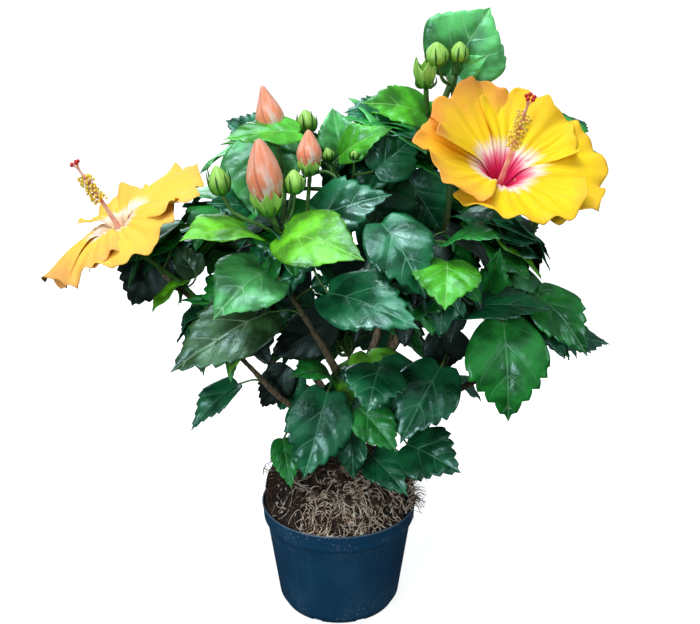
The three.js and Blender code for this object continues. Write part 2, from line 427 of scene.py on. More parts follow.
@dataclass(frozen=True)
class Sock:
    """A value in a material's nodes that arithmetic can be done with."""

    graph: "Graph"
    socket: bpy.types.NodeSocket

    def _math(self, operation: str, *values: "Sock | float") -> "Sock":
        """A Math node over the given values."""
        return self.graph.node(
            "ShaderNodeMath", {"operation": operation}, dict(enumerate(values))
        )

    def __add__(self, other: "Sock | float") -> "Sock":
        """This plus another."""
        return self._math("ADD", self, other)

    def __radd__(self, other: float) -> "Sock":
        """A number plus this."""
        return self._math("ADD", other, self)

    def __sub__(self, other: "Sock | float") -> "Sock":
        """This minus another."""
        return self._math("SUBTRACT", self, other)

    def __rsub__(self, other: float) -> "Sock":
        """A number minus this."""
        return self._math("SUBTRACT", other, self)

    def __mul__(self, other: "Sock | float") -> "Sock":
        """This times another."""
        return self._math("MULTIPLY", self, other)

    def __rmul__(self, other: float) -> "Sock":
        """A number times this."""
        return self._math("MULTIPLY", other, self)

    def __truediv__(self, other: "Sock | float") -> "Sock":
        """This divided by another."""
        return self._math("DIVIDE", self, other)

    def __abs__(self) -> "Sock":
        """This without its sign."""
        return self._math("ABSOLUTE", self)

    def fract(self) -> "Sock":
        """What is left of this after its whole number."""
        return self._math("FRACT", self)

    def sine(self) -> "Sock":
        """The sine of this."""
        return self._math("SINE", self)

    def larger(self, other: "Sock | float") -> "Sock":
        """The larger of this and another."""
        return self._math("MAXIMUM", self, other)

    def smaller(self, other: "Sock | float") -> "Sock":
        """The smaller of this and another."""
        return self._math("MINIMUM", self, other)

    def ramp(self, low: float, high: float) -> "Sock":
        """A soft step from 0 at low to 1 at high."""
        settings = {"interpolation_type": "SMOOTHSTEP"}
        inputs = {"Value": self, "From Min": low, "From Max": high}
        return self.graph.node("ShaderNodeMapRange", settings, inputs)


Colour = tuple[float, float, float]


class Graph:
    """A material's nodes, made one by one, that end in a Principled shader."""

    def __init__(self, name: str) -> None:
        """Start a material with only its shader and its output.

        Args:
            name: The material's name.
        """
        self.material = bpy.data.materials.new(name)
        self.material.use_nodes = True
        self.tree = self.material.node_tree
        self.tree.nodes.clear()
        self.shader = self.tree.nodes.new("ShaderNodeBsdfPrincipled")
        output = self.tree.nodes.new("ShaderNodeOutputMaterial")
        self.tree.links.new(self.shader.outputs["BSDF"], output.inputs["Surface"])

    def feed(self, socket: bpy.types.NodeSocket, value: object) -> None:
        """Set a socket to a value, or link it to another socket.

        Args:
            socket: The socket.
            value: A number, a colour or vector, or another socket's value.
        """
        if isinstance(value, Sock):
            self.tree.links.new(value.socket, socket)
        elif isinstance(value, tuple) and socket.type == "RGBA":
            socket.default_value = (*value[:3], 1.0)
        else:
            socket.default_value = value

    def node(
        self,
        kind: str,
        settings: dict[str, object] | None = None,
        inputs: dict[str | int, object] | None = None,
        output: str | int = 0,
    ) -> Sock:
        """Add a node.

        Args:
            kind: The node's type.
            settings: Its own settings; "stops" are a colour ramp's positions and colours.
            inputs: Values or links for its sockets, by name or number.
            output: Which of its outputs is wanted.

        Returns:
            That output.
        """
        made = self.tree.nodes.new(kind)
        for key, value in (settings or {}).items():
            if key == "stops":
                self._stops(made.color_ramp, value)
            else:
                setattr(made, key, value)
        for key, value in (inputs or {}).items():
            self.feed(made.inputs[key], value)
        return Sock(self, made.outputs[output])

    @staticmethod
    def _stops(ramp: bpy.types.ColorRamp, stops: list[tuple[float, Colour]]) -> None:
        """Give a colour ramp its stops.

        Args:
            ramp: The colour ramp.
            stops: Each stop's position and colour, in order.
        """
        while len(ramp.elements) < len(stops):
            ramp.elements.new(0.5)
        for element, (position, colour) in zip(ramp.elements, stops):
            element.position = position
            element.color = (*colour, 1.0)

    def mix(self, first: object, second: object, amount: object) -> Sock:
        """Two colours mixed by an amount.

        Args:
            first: The colour, or link, at amount 0.
            second: The colour, or link, at amount 1.
            amount: How much of the second is taken.

        Returns:
            The mixed colour.
        """
        inputs = {0: amount, 6: first, 7: second}
        return self.node("ShaderNodeMix", {"data_type": "RGBA"}, inputs, 2)

    def noise(self, scale: float, detail: float = 3.0, at: Sock | None = None) -> Sock:
        """Even noise over the model's own coordinates, or over another vector."""
        where = at or self.node("ShaderNodeTexCoord", output="Object")
        inputs = {"Vector": where, "Scale": scale, "Detail": detail}
        return self.node("ShaderNodeTexNoise", None, inputs)

    def place(self) -> tuple[Sock, Sock, Sock]:
        """The three numbers of the place that each point of a gathered mesh keeps."""
        vector = self.node("ShaderNodeAttribute", {"attribute_name": "place"}, None, "Vector")
        parts = [self.node("ShaderNodeSeparateXYZ", None, {0: vector}, i) for i in range(3)]
        return parts[0], parts[1], parts[2]

    def object_axis(self, axis: int) -> Sock:
        """One of the model's own coordinates, in metres."""
        where = self.node("ShaderNodeTexCoord", output="Object")
        return self.node("ShaderNodeSeparateXYZ", None, {0: where}, axis)

    def bump(self, height: Sock, distance: float, strength: float = 1.0) -> None:
        """Raise the surface by a height times a distance in metres."""
        inputs = {"Height": height, "Distance": distance, "Strength": strength}
        self.feed(self.shader.inputs["Normal"], self.node("ShaderNodeBump", None, inputs))

    def finish(self, **values: object) -> bpy.types.Material:
        """Set the shader's own sockets, named with underscores, and give the material."""
        for key, value in values.items():
            self.feed(self.shader.inputs[key.replace("_", " ")], value)
        return self.material


# ---------------------------------------------------------------- finishes


class Tint(Enum):
    """The greens of the leaves: a near-black tint that paints the shade deep inside the crown, then
    the greens from old leaves to the newest.
    """

    # painted shade: a near-black green that stands in for leaves lying in the crown's shade
    DARK = "dark"
    DEEP = "deep"
    OLIVE = "olive"
    MID = "mid"
    BRIGHT = "bright"
    LIGHT = "light"
    LIME = "lime"


@dataclass(frozen=True)
class LeafFinish:
    """The glossy upper side of a leaf in one tint, with paler veins, or its dull underside."""

    colour: Colour
    vein: Colour
    roughness: float = 0.26
    teeth: float = 1.0
    laterals: float = 6.5

    def veins(self, graph: Graph) -> Sock:
        """How much of a vein there is at a point: a midrib, and ribs that fan out of the foot.

        Args:
            graph: The material's nodes.

        Returns:
            1 on a vein, 0 between veins.
        """
        along, across, half_width = graph.place()
        out = abs(across)
        rib = 1.0 - (out * half_width * 100.0).ramp(0.15, 0.75)
        fanned = along / (out + 0.001)
        member = fanned.smaller((along + 1.0 - out) / (2.0 - out))
        beside = abs((member * self.laterals + 0.5).fract() - 0.5) * (out + 0.25)
        lateral = (1.0 - beside.ramp(0.004, 0.024)) * (1.0 - out.ramp(0.60, 1.08))
        return rib.larger(lateral * 0.75)

    def upper(self, name: str) -> bpy.types.Material:
        """The upper side's material.

        Args:
            name: The material's name.

        Returns:
            The material.
        """
        graph = Graph(name)
        vein = self.veins(graph)
        cloudy = graph.noise(45.0, 3.0)
        dark = tuple(0.42 * c for c in self.colour)
        light = tuple(min(1.0, 1.45 * c) for c in self.colour)
        body = graph.mix(dark, light, cloudy.ramp(0.32, 0.70))
        colour = graph.mix(body, self.vein, vein * 0.54)
        blisters = graph.noise(110.0, 2.0)
        grain = graph.noise(900.0, 2.0)
        graph.bump(blisters * 1.3 + grain * 0.12 - vein * 0.45, 0.0011, 0.55)
        return graph.finish(
            Base_Color=colour,
            Roughness=self.roughness + cloudy.ramp(0.35, 0.7) * 0.12 + vein * 0.1,
            Specular_IOR_Level=1.0,
            Specular_Tint=(0.66, 1.0, 0.95, 1.0),
        )

    def under(self, name: str) -> bpy.types.Material:
        """The underside's material: paler, duller, with its veins standing out.

        Args:
            name: The material's name.

        Returns:
            The material.
        """
        graph = Graph(name)
        vein = self.veins(graph)
        pale = tuple(0.85 * c + 0.15 * v for c, v in zip(self.colour, self.vein))
        cloudy = graph.noise(70.0)
        body = graph.mix(pale, tuple(1.3 * c for c in pale), cloudy)
        graph.bump(vein, 0.0004, 0.7)
        return graph.finish(
            Base_Color=graph.mix(body, self.vein, vein * 0.5), Roughness=0.55 + vein * 0.1
        )


LEAF_FINISHES: dict[Tint, LeafFinish] = {
    # painted shade: near-black leaves that stand in for the shade deep inside the crown
    Tint.DARK: LeafFinish((0.0060, 0.0120, 0.0050), (0.020, 0.030, 0.012), 0.45),
    Tint.DEEP: LeafFinish((0.0085, 0.1380, 0.0460), (0.16, 0.46, 0.26), 0.27),
    Tint.OLIVE: LeafFinish((0.050, 0.130, 0.038), (0.34, 0.48, 0.28), 0.29),
    Tint.MID: LeafFinish((0.0180, 0.280, 0.0300), (0.22, 0.58, 0.24), 0.28),
    Tint.BRIGHT: LeafFinish((0.075, 0.430, 0.012), (0.34, 0.72, 0.18), 0.30, 0.6),
    Tint.LIGHT: LeafFinish((0.095, 0.450, 0.110), (0.42, 0.78, 0.38), 0.32, 0.3),
    Tint.LIME: LeafFinish((0.150, 0.540, 0.010), (0.38, 0.76, 0.12), 0.36, 0.35),
}


@dataclass(frozen=True)
class StemFinish:
    """Bark that is woody and brown near the ground and green towards the tips."""

    wood: Colour = (0.27, 0.195, 0.115)
    wood_dark: Colour = (0.085, 0.058, 0.034)
    green: Colour = (0.055, 0.150, 0.020)
    woody_up_to: float = 0.36

    def bark(self, name: str) -> bpy.types.Material:
        """The material of trunk and boughs, from its height over the ground.

        Args:
            name: The material's name.

        Returns:
            The material.
        """
        graph = Graph(name)
        where = graph.node("ShaderNodeTexCoord", output="Object")
        stretched = graph.node(
            "ShaderNodeMapping", None, {"Vector": where, "Scale": (1.0, 1.0, 0.22)}
        )
        ridges = graph.noise(620.0, 5.0, stretched)
        specks = graph.node(
            "ShaderNodeTexVoronoi", None, {"Vector": where, "Scale": 330.0}, "Distance"
        )
        lenticel = 1.0 - specks.ramp(0.10, 0.24)
        wood = graph.mix(self.wood_dark, self.wood, ridges.ramp(0.32, 0.62))
        wood = graph.mix(wood, (0.36, 0.29, 0.19), lenticel * 0.55)
        height = graph.object_axis(2) + graph.noise(30.0, 2.0) * 0.06
        youth = height.ramp(self.woody_up_to - 0.03, self.woody_up_to + 0.11)
        green = graph.mix(self.green, tuple(0.5 * c for c in self.green), ridges)
        graph.bump(ridges * 0.8 + lenticel * 0.5, 0.0006, 0.8)
        return graph.finish(Base_Color=graph.mix(wood, green, youth), Roughness=0.72 - youth * 0.22)

    def shoot(self, name: str, colour: Colour) -> bpy.types.Material:
        """The material of green shoots, stalks and petioles.

        Args:
            name: The material's name.
            colour: The green, at its lightest.

        Returns:
            The material.
        """
        graph = Graph(name)
        streak = graph.noise(160.0, 3.0)
        dark = tuple(0.5 * c for c in colour)
        graph.bump(graph.noise(1400.0, 2.0), 0.0002, 0.5)
        return graph.finish(
            Base_Color=graph.mix(dark, colour, streak.ramp(0.3, 0.6)), Roughness=0.45
        )


@dataclass(frozen=True)
class PetalFinish:
    """A petal's colours from throat to edge: crimson, a white flare, yellow, salmon."""

    yellow: Colour
    edge: Colour
    throat: Colour = (0.80, 0.018, 0.130)
    blush: Colour = (0.95, 0.22, 0.34)
    flare: Colour = (1.0, 0.84, 0.74)

    def material(self, name: str) -> bpy.types.Material:
        """The petal's material, from the place along and across it.

        Args:
            name: The material's name.

        Returns:
            The material.
        """
        graph = Graph(name)
        along, across, turn = graph.place()
        vector = graph.node(
            "ShaderNodeCombineXYZ", None, {0: along * 1.2, 1: across * 9.0, 2: turn * 7.0}
        )
        streaks = graph.noise(2.6, 3.0, vector)
        reach = along + (streaks - 0.5) * 0.30
        stops = [
            (0.0, self.throat),
            (0.12, self.throat),
            (0.19, self.blush),
            (0.27, self.flare),
            (0.40, self.yellow),
            (1.0, self.yellow),
        ]
        colour = graph.node("ShaderNodeValToRGB", {"stops": stops}, {0: reach})
        patches = graph.noise(38.0, 3.0)
        edge = along.ramp(0.80, 1.02) * 0.7 + along.ramp(0.45, 0.9) * patches.ramp(0.50, 0.66) * 0.5
        warm = turn.ramp(1.2, 1.9) * (1.0 - turn.ramp(3.1, 3.9))
        colour = graph.mix(colour, self.edge, edge * (warm * 0.6 + 0.4))
        colour = graph.mix(colour, self.edge, warm * along.ramp(0.35, 0.95) * 0.40)
        fine = graph.node(
            "ShaderNodeCombineXYZ", None, {0: along * 2.0, 1: across * 34.0, 2: turn * 7.0}
        )
        ribs = graph.noise(2.2, 2.0, fine)
        colour = graph.mix(colour, self.edge, ribs.ramp(0.52, 0.70) * along.ramp(0.1, 0.5) * 0.28)
        graph.bump(ribs + graph.noise(240.0) * 0.3, 0.0006, 0.7)
        return graph.finish(
            Base_Color=colour,
            Roughness=0.58 + patches * 0.12,
            Subsurface_Weight=0.12,
            Subsurface_Radius=(0.004, 0.002, 0.001),
            Specular_IOR_Level=0.25,
        )


@dataclass(frozen=True)
class BudFinish:
    """A salmon bud with pale streaks at its foot."""

    salmon: Colour = (1.0, 0.29, 0.130)
    pink: Colour = (1.0, 0.46, 0.32)
    pale: Colour = (0.96, 0.80, 0.66)

    def material(self, name: str) -> bpy.types.Material:
        """The bud's material, from the place up and around it.

        Args:
            name: The material's name.

        Returns:
            The material.
        """
        graph = Graph(name)
        along, around, _ = graph.place()
        furl = ((along * 0.35 + around * 3.0) * (2 * math.pi)).sine()
        vector = graph.node("ShaderNodeCombineXYZ", None, {0: along * 1.6, 1: around * 5.0})
        streaks = graph.noise(2.2, 3.0, vector)
        colour = graph.mix(self.salmon, self.pink, streaks.ramp(0.35, 0.65))
        pale = (1.0 - along.ramp(0.22, 0.75)) * streaks.ramp(0.47, 0.57)
        colour = graph.mix(colour, self.pale, pale * 0.9)
        colour = graph.mix(colour, (0.50, 0.085, 0.05), furl.ramp(0.96, 1.0) * 0.6)
        graph.bump(streaks, 0.0005, 0.6)
        return graph.finish(Base_Color=colour, Roughness=0.5, Sheen_Weight=0.2)


@dataclass(frozen=True)
class CalyxFinish:
    """A calyx or green bud: ribbed, darker at its foot."""

    top: Colour = (0.42, 0.74, 0.14)
    foot: Colour = (0.13, 0.42, 0.02)

    def material(self, name: str) -> bpy.types.Material:
        """The calyx's material, from the place up and around it.

        Args:
            name: The material's name.

        Returns:
            The material.
        """
        graph = Graph(name)
        along, around, _ = graph.place()
        ribs = (around * (2 * math.pi * 10.0)).sine().ramp(0.70, 1.0)
        colour = graph.mix(self.foot, self.top, along.ramp(0.0, 0.8))
        colour = graph.mix(colour, self.foot, ribs * 0.45)
        graph.bump(ribs, 0.0004, 0.6)
        return graph.finish(Base_Color=colour, Roughness=0.42)


def plain_finish(
    name: str, dark: Colour, light: Colour, scale: float, rough: float
) -> bpy.types.Material:
    """A matt finish that wanders between two shades.

    Args:
        name: The material's name.
        dark: The darker shade.
        light: The lighter shade.
        scale: How fine the wander is.
        rough: The surface's roughness.

    Returns:
        The material.
    """
    graph = Graph(name)
    wander = graph.noise(scale, 4.0)
    graph.bump(graph.noise(scale * 5.0, 2.0), 0.0003, 0.6)
    return graph.finish(
        Base_Color=graph.mix(dark, light, wander.ramp(0.35, 0.65)),
        Roughness=rough + (wander - 0.5) * 0.1,
    )


@dataclass(frozen=True)
class PotFinish:
    """Thin moulded plastic, dark blue, dusty where it was handled, with a painted highlight along
    the top of the rim.
    """

    plastic: Colour = (0.0110, 0.0850, 0.1850)
    worn: Colour = (0.0320, 0.1350, 0.2600)
    dust: Colour = (0.62, 0.66, 0.70)

    def material(self, name: str, lip_height: float) -> bpy.types.Material:
        """The pot's material.

        Args:
            name: The material's name.
            lip_height: The rim's height, in metres.

        Returns:
            The material.
        """
        graph = Graph(name)
        where = graph.node("ShaderNodeTexCoord", output="Object")
        tall = graph.node("ShaderNodeMapping", None, {"Vector": where, "Scale": (1.0, 1.0, 0.12)})
        streaks = graph.noise(70.0, 4.0, tall)
        clouds = graph.noise(24.0, 4.0)
        height = graph.object_axis(2)
        scuff = clouds.ramp(0.42, 0.72) * 0.6 + streaks.ramp(0.5, 0.75) * 0.5
        colour = graph.mix(self.plastic, self.worn, scuff)
        # painted highlight: a lighter band along the top of the rim, where the lip catches the
        # light
        lip = height.ramp(lip_height - 0.0016, lip_height - 0.0004)
        colour = graph.mix(colour, (0.10, 0.15, 0.20), lip * 0.75)
        specks = graph.noise(620.0, 2.0).ramp(0.62, 0.68)
        low = 1.0 - height.ramp(0.004, 0.045)
        high = height.ramp(0.060, 0.094)
        dusty = graph.noise(34.0, 3.0).ramp(0.42, 0.58) * (low * 0.9 + high * 0.7)
        colour = graph.mix(colour, self.dust, specks * dusty * 0.8)
        graph.bump(graph.noise(1100.0, 2.0) * 0.3 + streaks * 0.5, 0.0003, 0.5)
        rough = 0.36 + clouds * 0.16 + specks * dusty * 0.3
        return graph.finish(Base_Color=colour, Roughness=rough)


# ---------------------------------------------------------------- leaves


class Facing(Enum):
    """Roughly where a leaf's upper side looks."""

    UP = (0.0, -0.30, 1.0)
    LEAN = (0.0, -0.80, 0.80)
    FRONT = (0.0, -1.0, 0.28)
    LEFT = (-0.75, -0.55, 0.65)


@dataclass
class Leaf:
    """A leaf's blade, from the end of its stalk to its tip, with the shape that it has grown."""

    foot: np.ndarray
    tip: np.ndarray
    face: np.ndarray
    breadth: float
    tint: Tint
    arch: float = 0.10
    fold: float = 0.22
    wave: float = 2.2
    phase: float = 0.0
    skew: float = 0.0
    rows: int = 25
    columns: int = 11
    tooth_rows: int = 4

    def outline(self, along: np.ndarray) -> np.ndarray:
        """Half of the blade's width, from 0 to 1, at places along it.

        Args:
            along: Places from the foot, 0, to the tip, 1.

        Returns:
            The share of the greatest half width there.
        """
        rounding, taper = 0.50, 1.16
        widest = rounding / (rounding + taper)
        peak = widest**rounding * (1 - widest) ** taper
        return np.clip(along, 0, 1) ** rounding * np.clip(1 - along, 0, 1) ** taper / peak

    def surface(self) -> tuple[np.ndarray, np.ndarray]:
        """The upper side's points about the leaf's own frame, and their places on the blade."""
        length = float(np.linalg.norm(self.tip - self.foot))
        along = np.linspace(0.004, 0.997, self.rows)[:, None]
        across = np.linspace(-1.0, 1.0, self.columns)[None, :]
        side = np.sign(across)
        out = np.abs(across)
        half = self.outline(along) * self.breadth / 2
        step = np.arange(self.rows)[:, None] % self.tooth_rows / (self.tooth_rows - 1)
        toothed = smooth(0.34, 0.50, along) * (1.15 - 0.65 * along)
        depth = 0.095 * self.breadth * LEAF_FINISHES[self.tint].teeth
        jut = depth * toothed * (step**0.7 - 0.6) * out**8
        x = across * half + side * jut
        lobe = -0.12 * length * out**1.4 * np.exp(-((along / 0.15) ** 2)) * np.minimum(1, half / 12)
        y = along * length + lobe + 0.34 * (1 - along) * half * out + 0.35 * jut
        member = np.minimum(along / np.maximum(out, 0.001), (along + 1 - out) / (2 - out))
        ribs = np.sin(math.pi * LeafFinish.laterals * member) ** 2
        pucker = 1.3 * ribs * (4 * out * (1 - out)) ** 0.7
        pucker = pucker * smooth(0.02, 0.25, along) * np.minimum(1, half / 15)
        waves = 2 * math.pi * (1.6 * along + self.phase + 0.25 * side)
        ripple = self.wave * out**2.2 * np.sin(waves) * np.sqrt(half / (self.breadth / 2))
        bow = self.arch * length * np.sin(math.pi * along**0.85)
        folded = self.fold * out * half - 0.30 * self.fold * out**3 * half * (1 + along)
        z = bow + folded + pucker + ripple + self.skew * x
        z = z - 0.8 * np.exp(-((across * half / 1.5) ** 2))
        points = np.stack(np.broadcast_arrays(x, y, z), axis=-1).reshape(-1, 3)
        place = np.stack(np.broadcast_arrays(along, across, half / 100.0), axis=-1).reshape(-1, 3)
        return points, place

    def add_to(self, sheaf: Sheaf) -> None:
        """Add the leaf, as a thin shell with an upper side and an underside, to a sheaf.

        Args:
            sheaf: Takes the leaf.
        """
        points, place = self.surface()
        frame = Frame.looking(self.foot, self.tip - self.foot, self.face)
        upper = frame.put(points)
        beneath = upper - frame.face * 0.45
        top, rest = shell_faces(self.rows, self.columns)
        sheaf.add(
            np.vstack([upper, beneath]), [top, rest], np.vstack([place, place]), slots=[0, 1]
        )


@dataclass(frozen=True)
class Leading:
    """A leaf with a place of its own, because it gives the front of the shrub its look."""

    foot: Triple
    tip: Triple
    breadth: float
    tint: Tint
    facing: Facing = Facing.LEAN
    arch: float = 0.10
    fold: float = 0.20

    def leaf(self, chance: np.random.Generator) -> Leaf:
        """The leaf itself, with small accidents of growth.

        Args:
            chance: Draws the accidents.

        Returns:
            The leaf.
        """
        return Leaf(
            foot=np.array(self.foot, dtype=float),
            tip=np.array(self.tip, dtype=float),
            face=np.array(self.facing.value, dtype=float),
            breadth=self.breadth,
            tint=self.tint,
            arch=self.arch,
            fold=self.fold,
            wave=chance.uniform(1.2, 2.8),
            phase=chance.uniform(0, 1),
            skew=chance.uniform(-0.06, 0.06),
            rows=46,
            columns=17,
            tooth_rows=6,
        )


# Leaves in the near-black tint are painted shade: they stand in for leaves deep in the crown's
# shade.
LEADING_LEAVES: tuple[Leading, ...] = (
    # the new leaf over the top, and the ones round the right bloom
    Leading((93, 8, 512), (130, 16, 570), 78, Tint.LIGHT, Facing.FRONT, 0.05, 0.22),
    Leading((103, 2, 516), (126, -12, 533), 20, Tint.LIGHT, Facing.FRONT, 0.10, 0.30),
    Leading((200, 72, 450), (234, 100, 458), 44, Tint.DEEP, Facing.UP),
    Leading((80, 0, 478), (20, -30, 497), 46, Tint.BRIGHT, Facing.LEAN, 0.12, 0.10),
    Leading((44, 30, 469), (6, 24, 480), 40, Tint.DEEP),
    Leading((31, -12, 434), (70, 4, 464), 48, Tint.DEEP, Facing.FRONT, 0.05, 0.10),
    Leading((72, -40, 386), (42, -62, 390), 40, Tint.DEEP),
    Leading((109, -12, 395), (147, -60, 402), 50, Tint.DEEP, Facing.UP),
    # round the buds
    Leading((-64, 20, 450), (-98, 16, 474), 42, Tint.DEEP, Facing.LEAN, 0.08),
    Leading((-30, -44, 475), (-92, -56, 472), 44, Tint.BRIGHT, Facing.UP, 0.06, 0.10),
    Leading((-62, -14, 464), (-70, -46, 402), 68, Tint.LIGHT, Facing.LEAN, 0.10, 0.08),
    Leading((-70, -30, 404), (-108, -56, 418), 34, Tint.DEEP),
    Leading((4, 0, 446), (-5, 12, 486), 36, Tint.LIGHT, Facing.FRONT, 0.03, 0.75),
    Leading((1, -6, 446), (46, -20, 474), 34, Tint.BRIGHT),
    Leading((-66, -60, 393), (-124, -112, 402), 56, Tint.LIME, Facing.UP, 0.10, 0.12),
    Leading((-45, -80, 398), (22, -132, 392), 60, Tint.LIME, Facing.LEAN, 0.10, 0.08),
    Leading((-24, -40, 396), (46, -50, 424), 54, Tint.DEEP, Facing.LEAN, 0.10, 0.12),
    Leading((-22, -62, 345), (-4, -56, 351), 17, Tint.DEEP),
    # the middle of the front, with one leaf in the near-black tint that paints shade
    Leading((-54, -66, 363), (-100, -116, 337), 66, Tint.LIGHT, Facing.LEAN, 0.18, 0.16),
    Leading((-8, -86, 349), (66, -138, 337), 60, Tint.DEEP, Facing.LEAN, 0.10, 0.14),
    Leading((36, -70, 405), (72, -112, 353), 58, Tint.DEEP, Facing.LEAN, 0.16, 0.14),
    Leading((90, -90, 379), (86, -130, 350), 56, Tint.BRIGHT, Facing.LEAN, 0.14, 0.08),
    Leading((90, -80, 391), (128, -118, 406), 40, Tint.MID, Facing.UP, 0.08),
    Leading((92, -30, 296), (104, -12, 250), 44, Tint.DARK, Facing.FRONT),
    Leading((36, -76, 279), (25, -126, 258), 55, Tint.DEEP, Facing.LEAN, 0.10, 0.10),
    Leading((92, -50, 268), (54, -96, 215), 60, Tint.DEEP, Facing.LEAN, 0.12, 0.12),
    Leading((-9, -56, 246), (-30, -96, 180), 60, Tint.DEEP, Facing.FRONT, 0.10, 0.12),
    Leading((-6, -30, 247), (-42, -60, 262), 38, Tint.MID, Facing.UP, 0.16),
    Leading((18, -60, 233), (52, -90, 203), 40, Tint.MID),
    Leading((12, -46, 198), (14, -64, 162), 28, Tint.DEEP, Facing.FRONT, 0.10, 0.55),
    Leading((29, -40, 176), (62, -82, 156), 40, Tint.DEEP),
    Leading((-52, -20, 182), (-43, -56, 148), 28, Tint.MID, Facing.FRONT),
    Leading((62, -44, 188), (109, -80, 178), 56, Tint.DEEP, Facing.LEAN, 0.08, 0.10),
    Leading((108, 0, 232), (137, 10, 206), 26, Tint.DEEP, Facing.UP),
    # leaves behind them, several in the near-black tint that paints the shade inside the crown
    Leading((28, 16, 402), (62, 24, 356), 66, Tint.DEEP, Facing.FRONT),
    Leading((-4, 20, 396), (-30, 24, 346), 62, Tint.DARK, Facing.FRONT),
    Leading((62, 30, 420), (96, 34, 368), 64, Tint.DEEP, Facing.FRONT),
    Leading((-58, 20, 404), (-92, 24, 352), 60, Tint.DEEP, Facing.FRONT),
    Leading((30, 24, 352), (6, 20, 300), 62, Tint.DARK, Facing.FRONT),
    Leading((92, 20, 350), (120, 24, 306), 58, Tint.DARK, Facing.FRONT),
    Leading((20, 30, 440), (-14, 34, 404), 56, Tint.DEEP),
    Leading((-40, 24, 352), (-66, 20, 306), 58, Tint.DARK, Facing.FRONT),
    # the left, where several leaves take the near-black tint that paints shade
    Leading((-58, -40, 316), (-144, -78, 274), 62, Tint.OLIVE),
    Leading((-94, 0, 229), (-137, -28, 194), 36, Tint.DEEP, Facing.UP, 0.08, 0.45),
    Leading((-116, 40, 288), (-154, 46, 260), 34, Tint.DEEP),
    Leading((-48, 12, 242), (-75, 20, 194), 34, Tint.DARK, Facing.FRONT),
    Leading((-40, 16, 235), (-58, 26, 188), 32, Tint.DEEP, Facing.FRONT),
    Leading((-6, 20, 285), (-64, 0, 256), 48, Tint.DARK, Facing.FRONT),
    Leading((-22, 26, 300), (-78, 16, 292), 52, Tint.DEEP, Facing.FRONT),
    Leading((-168, 42, 348), (-200, 50, 288), 58, Tint.DARK, Facing.FRONT, 0.06, 0.08),
    Leading((-138, 46, 330), (-186, 58, 342), 46, Tint.DARK, Facing.FRONT, 0.06, 0.08),
    Leading((-140, 12, 328), (-168, -22, 308), 30, Tint.LIME, Facing.LEFT, 0.06),
    Leading((-130, 18, 329), (-152, 30, 356), 30, Tint.OLIVE),
    # the right
    Leading((142, 16, 366), (190, 22, 360), 36, Tint.DEEP, Facing.UP),
    Leading((130, -48, 336), (138, -56, 378), 26, Tint.MID, Facing.FRONT, 0.04, 0.70),
    Leading((102, -50, 320), (186, -76, 330), 52, Tint.DEEP, Facing.UP, 0.08, 0.10),
    Leading((172, -34, 332), (217, -66, 284), 46, Tint.MID, Facing.LEAN, 0.16, 0.14),
    Leading((200, 28, 258), (262, 38, 254), 44, Tint.DEEP, Facing.UP),
    Leading((144, -54, 312), (148, -86, 231), 74, Tint.MID, Facing.FRONT, 0.12, 0.22),
)


@dataclass(frozen=True)
class Spray:
    """How thickly one mass is leaved, how far its leaves may roam, and what share of its leaves get
    the near-black tint that paints shade.
    """

    node: str
    leaves: int
    part: str
    keep_back: float = 0.0
    lifted: float = 0.0
    young: float = 0.08
    roam: float = 1.0
    # share of leaves given the near-black tint, as painted shade inside the crown
    painted_shade_share: float = 0.0


SPRAYS: tuple[Spray, ...] = (
    Spray("foliage_top_spray", 0, "top"),
    Spray("foliage_bud_spray", 0, "top"),
    Spray("foliage_front_left", 12, "front", keep_back=36, painted_shade_share=0.34),
    Spray("foliage_front_centre", 20, "front", keep_back=46, painted_shade_share=0.34),
    Spray("foliage_low_front", 8, "low", keep_back=44, lifted=24, painted_shade_share=0.34),
    Spray("foliage_left", 15, "left", keep_back=26, lifted=20, painted_shade_share=0.25),
    Spray("foliage_far_left", 5, "left", keep_back=16, lifted=6),
    Spray("foliage_upper_left", 13, "top", young=0.2),
    Spray("foliage_upper_middle", 19, "top", young=0.2),
    Spray("foliage_right", 10, "right", keep_back=24, lifted=8, painted_shade_share=0.25),
    Spray("foliage_right_low", 11, "right", keep_back=26, lifted=18, painted_shade_share=0.25),
    Spray("foliage_back_left", 34, "back", young=0.12, roam=1.32),
    Spray("foliage_back_right", 34, "back", young=0.12, roam=1.32),
    Spray("foliage_back_spray", 12, "back", young=0.25, roam=1.15),
    Spray("foliage_back_low", 30, "low", lifted=12, roam=1.45),
)


# ---------------------------------------------------------------- trunk, boughs and shoots


@dataclass(frozen=True)
class Bough:
    """One bough: where on the trunk it leaves, what it makes for, and how its middle bows."""

    node: str
    leaves: float
    into: str
    bow: Triple


BOUGHS: tuple[Bough, ...] = (
    Bough("bough_front_left", 0.96, "foliage_front_left", (4, 4, -2)),
    Bough("bough_centre", 0.92, "foliage_upper_middle", (16, 6, -14)),
    Bough("bough_tall", 0.84, "foliage_top_spray", (36, 16, -16)),
    Bough("bough_left", 0.78, "foliage_far_left", (10, 10, -20)),
    Bough("bough_right", 0.74, "bloom_right", (26, -14, -34)),
    Bough("bough_right_low", 0.60, "foliage_right_low", (0, 8, -12)),
    Bough("bough_left_low", 0.50, "foliage_left", (-6, 4, -10)),
    Bough("bough_back_left", 0.66, "foliage_back_left", (-8, 6, -16)),
    Bough("bough_back_right", 0.70, "foliage_back_right", (6, 8, -22)),
    Bough("bough_back_low", 0.42, "foliage_back_low", (0, 8, -8)),
)


# where a bloom's green stalk leaves the bough that carries it
STALK_FEET: dict[str, Triple] = {"bloom_right": (128.0, -10.0, 398.0)}


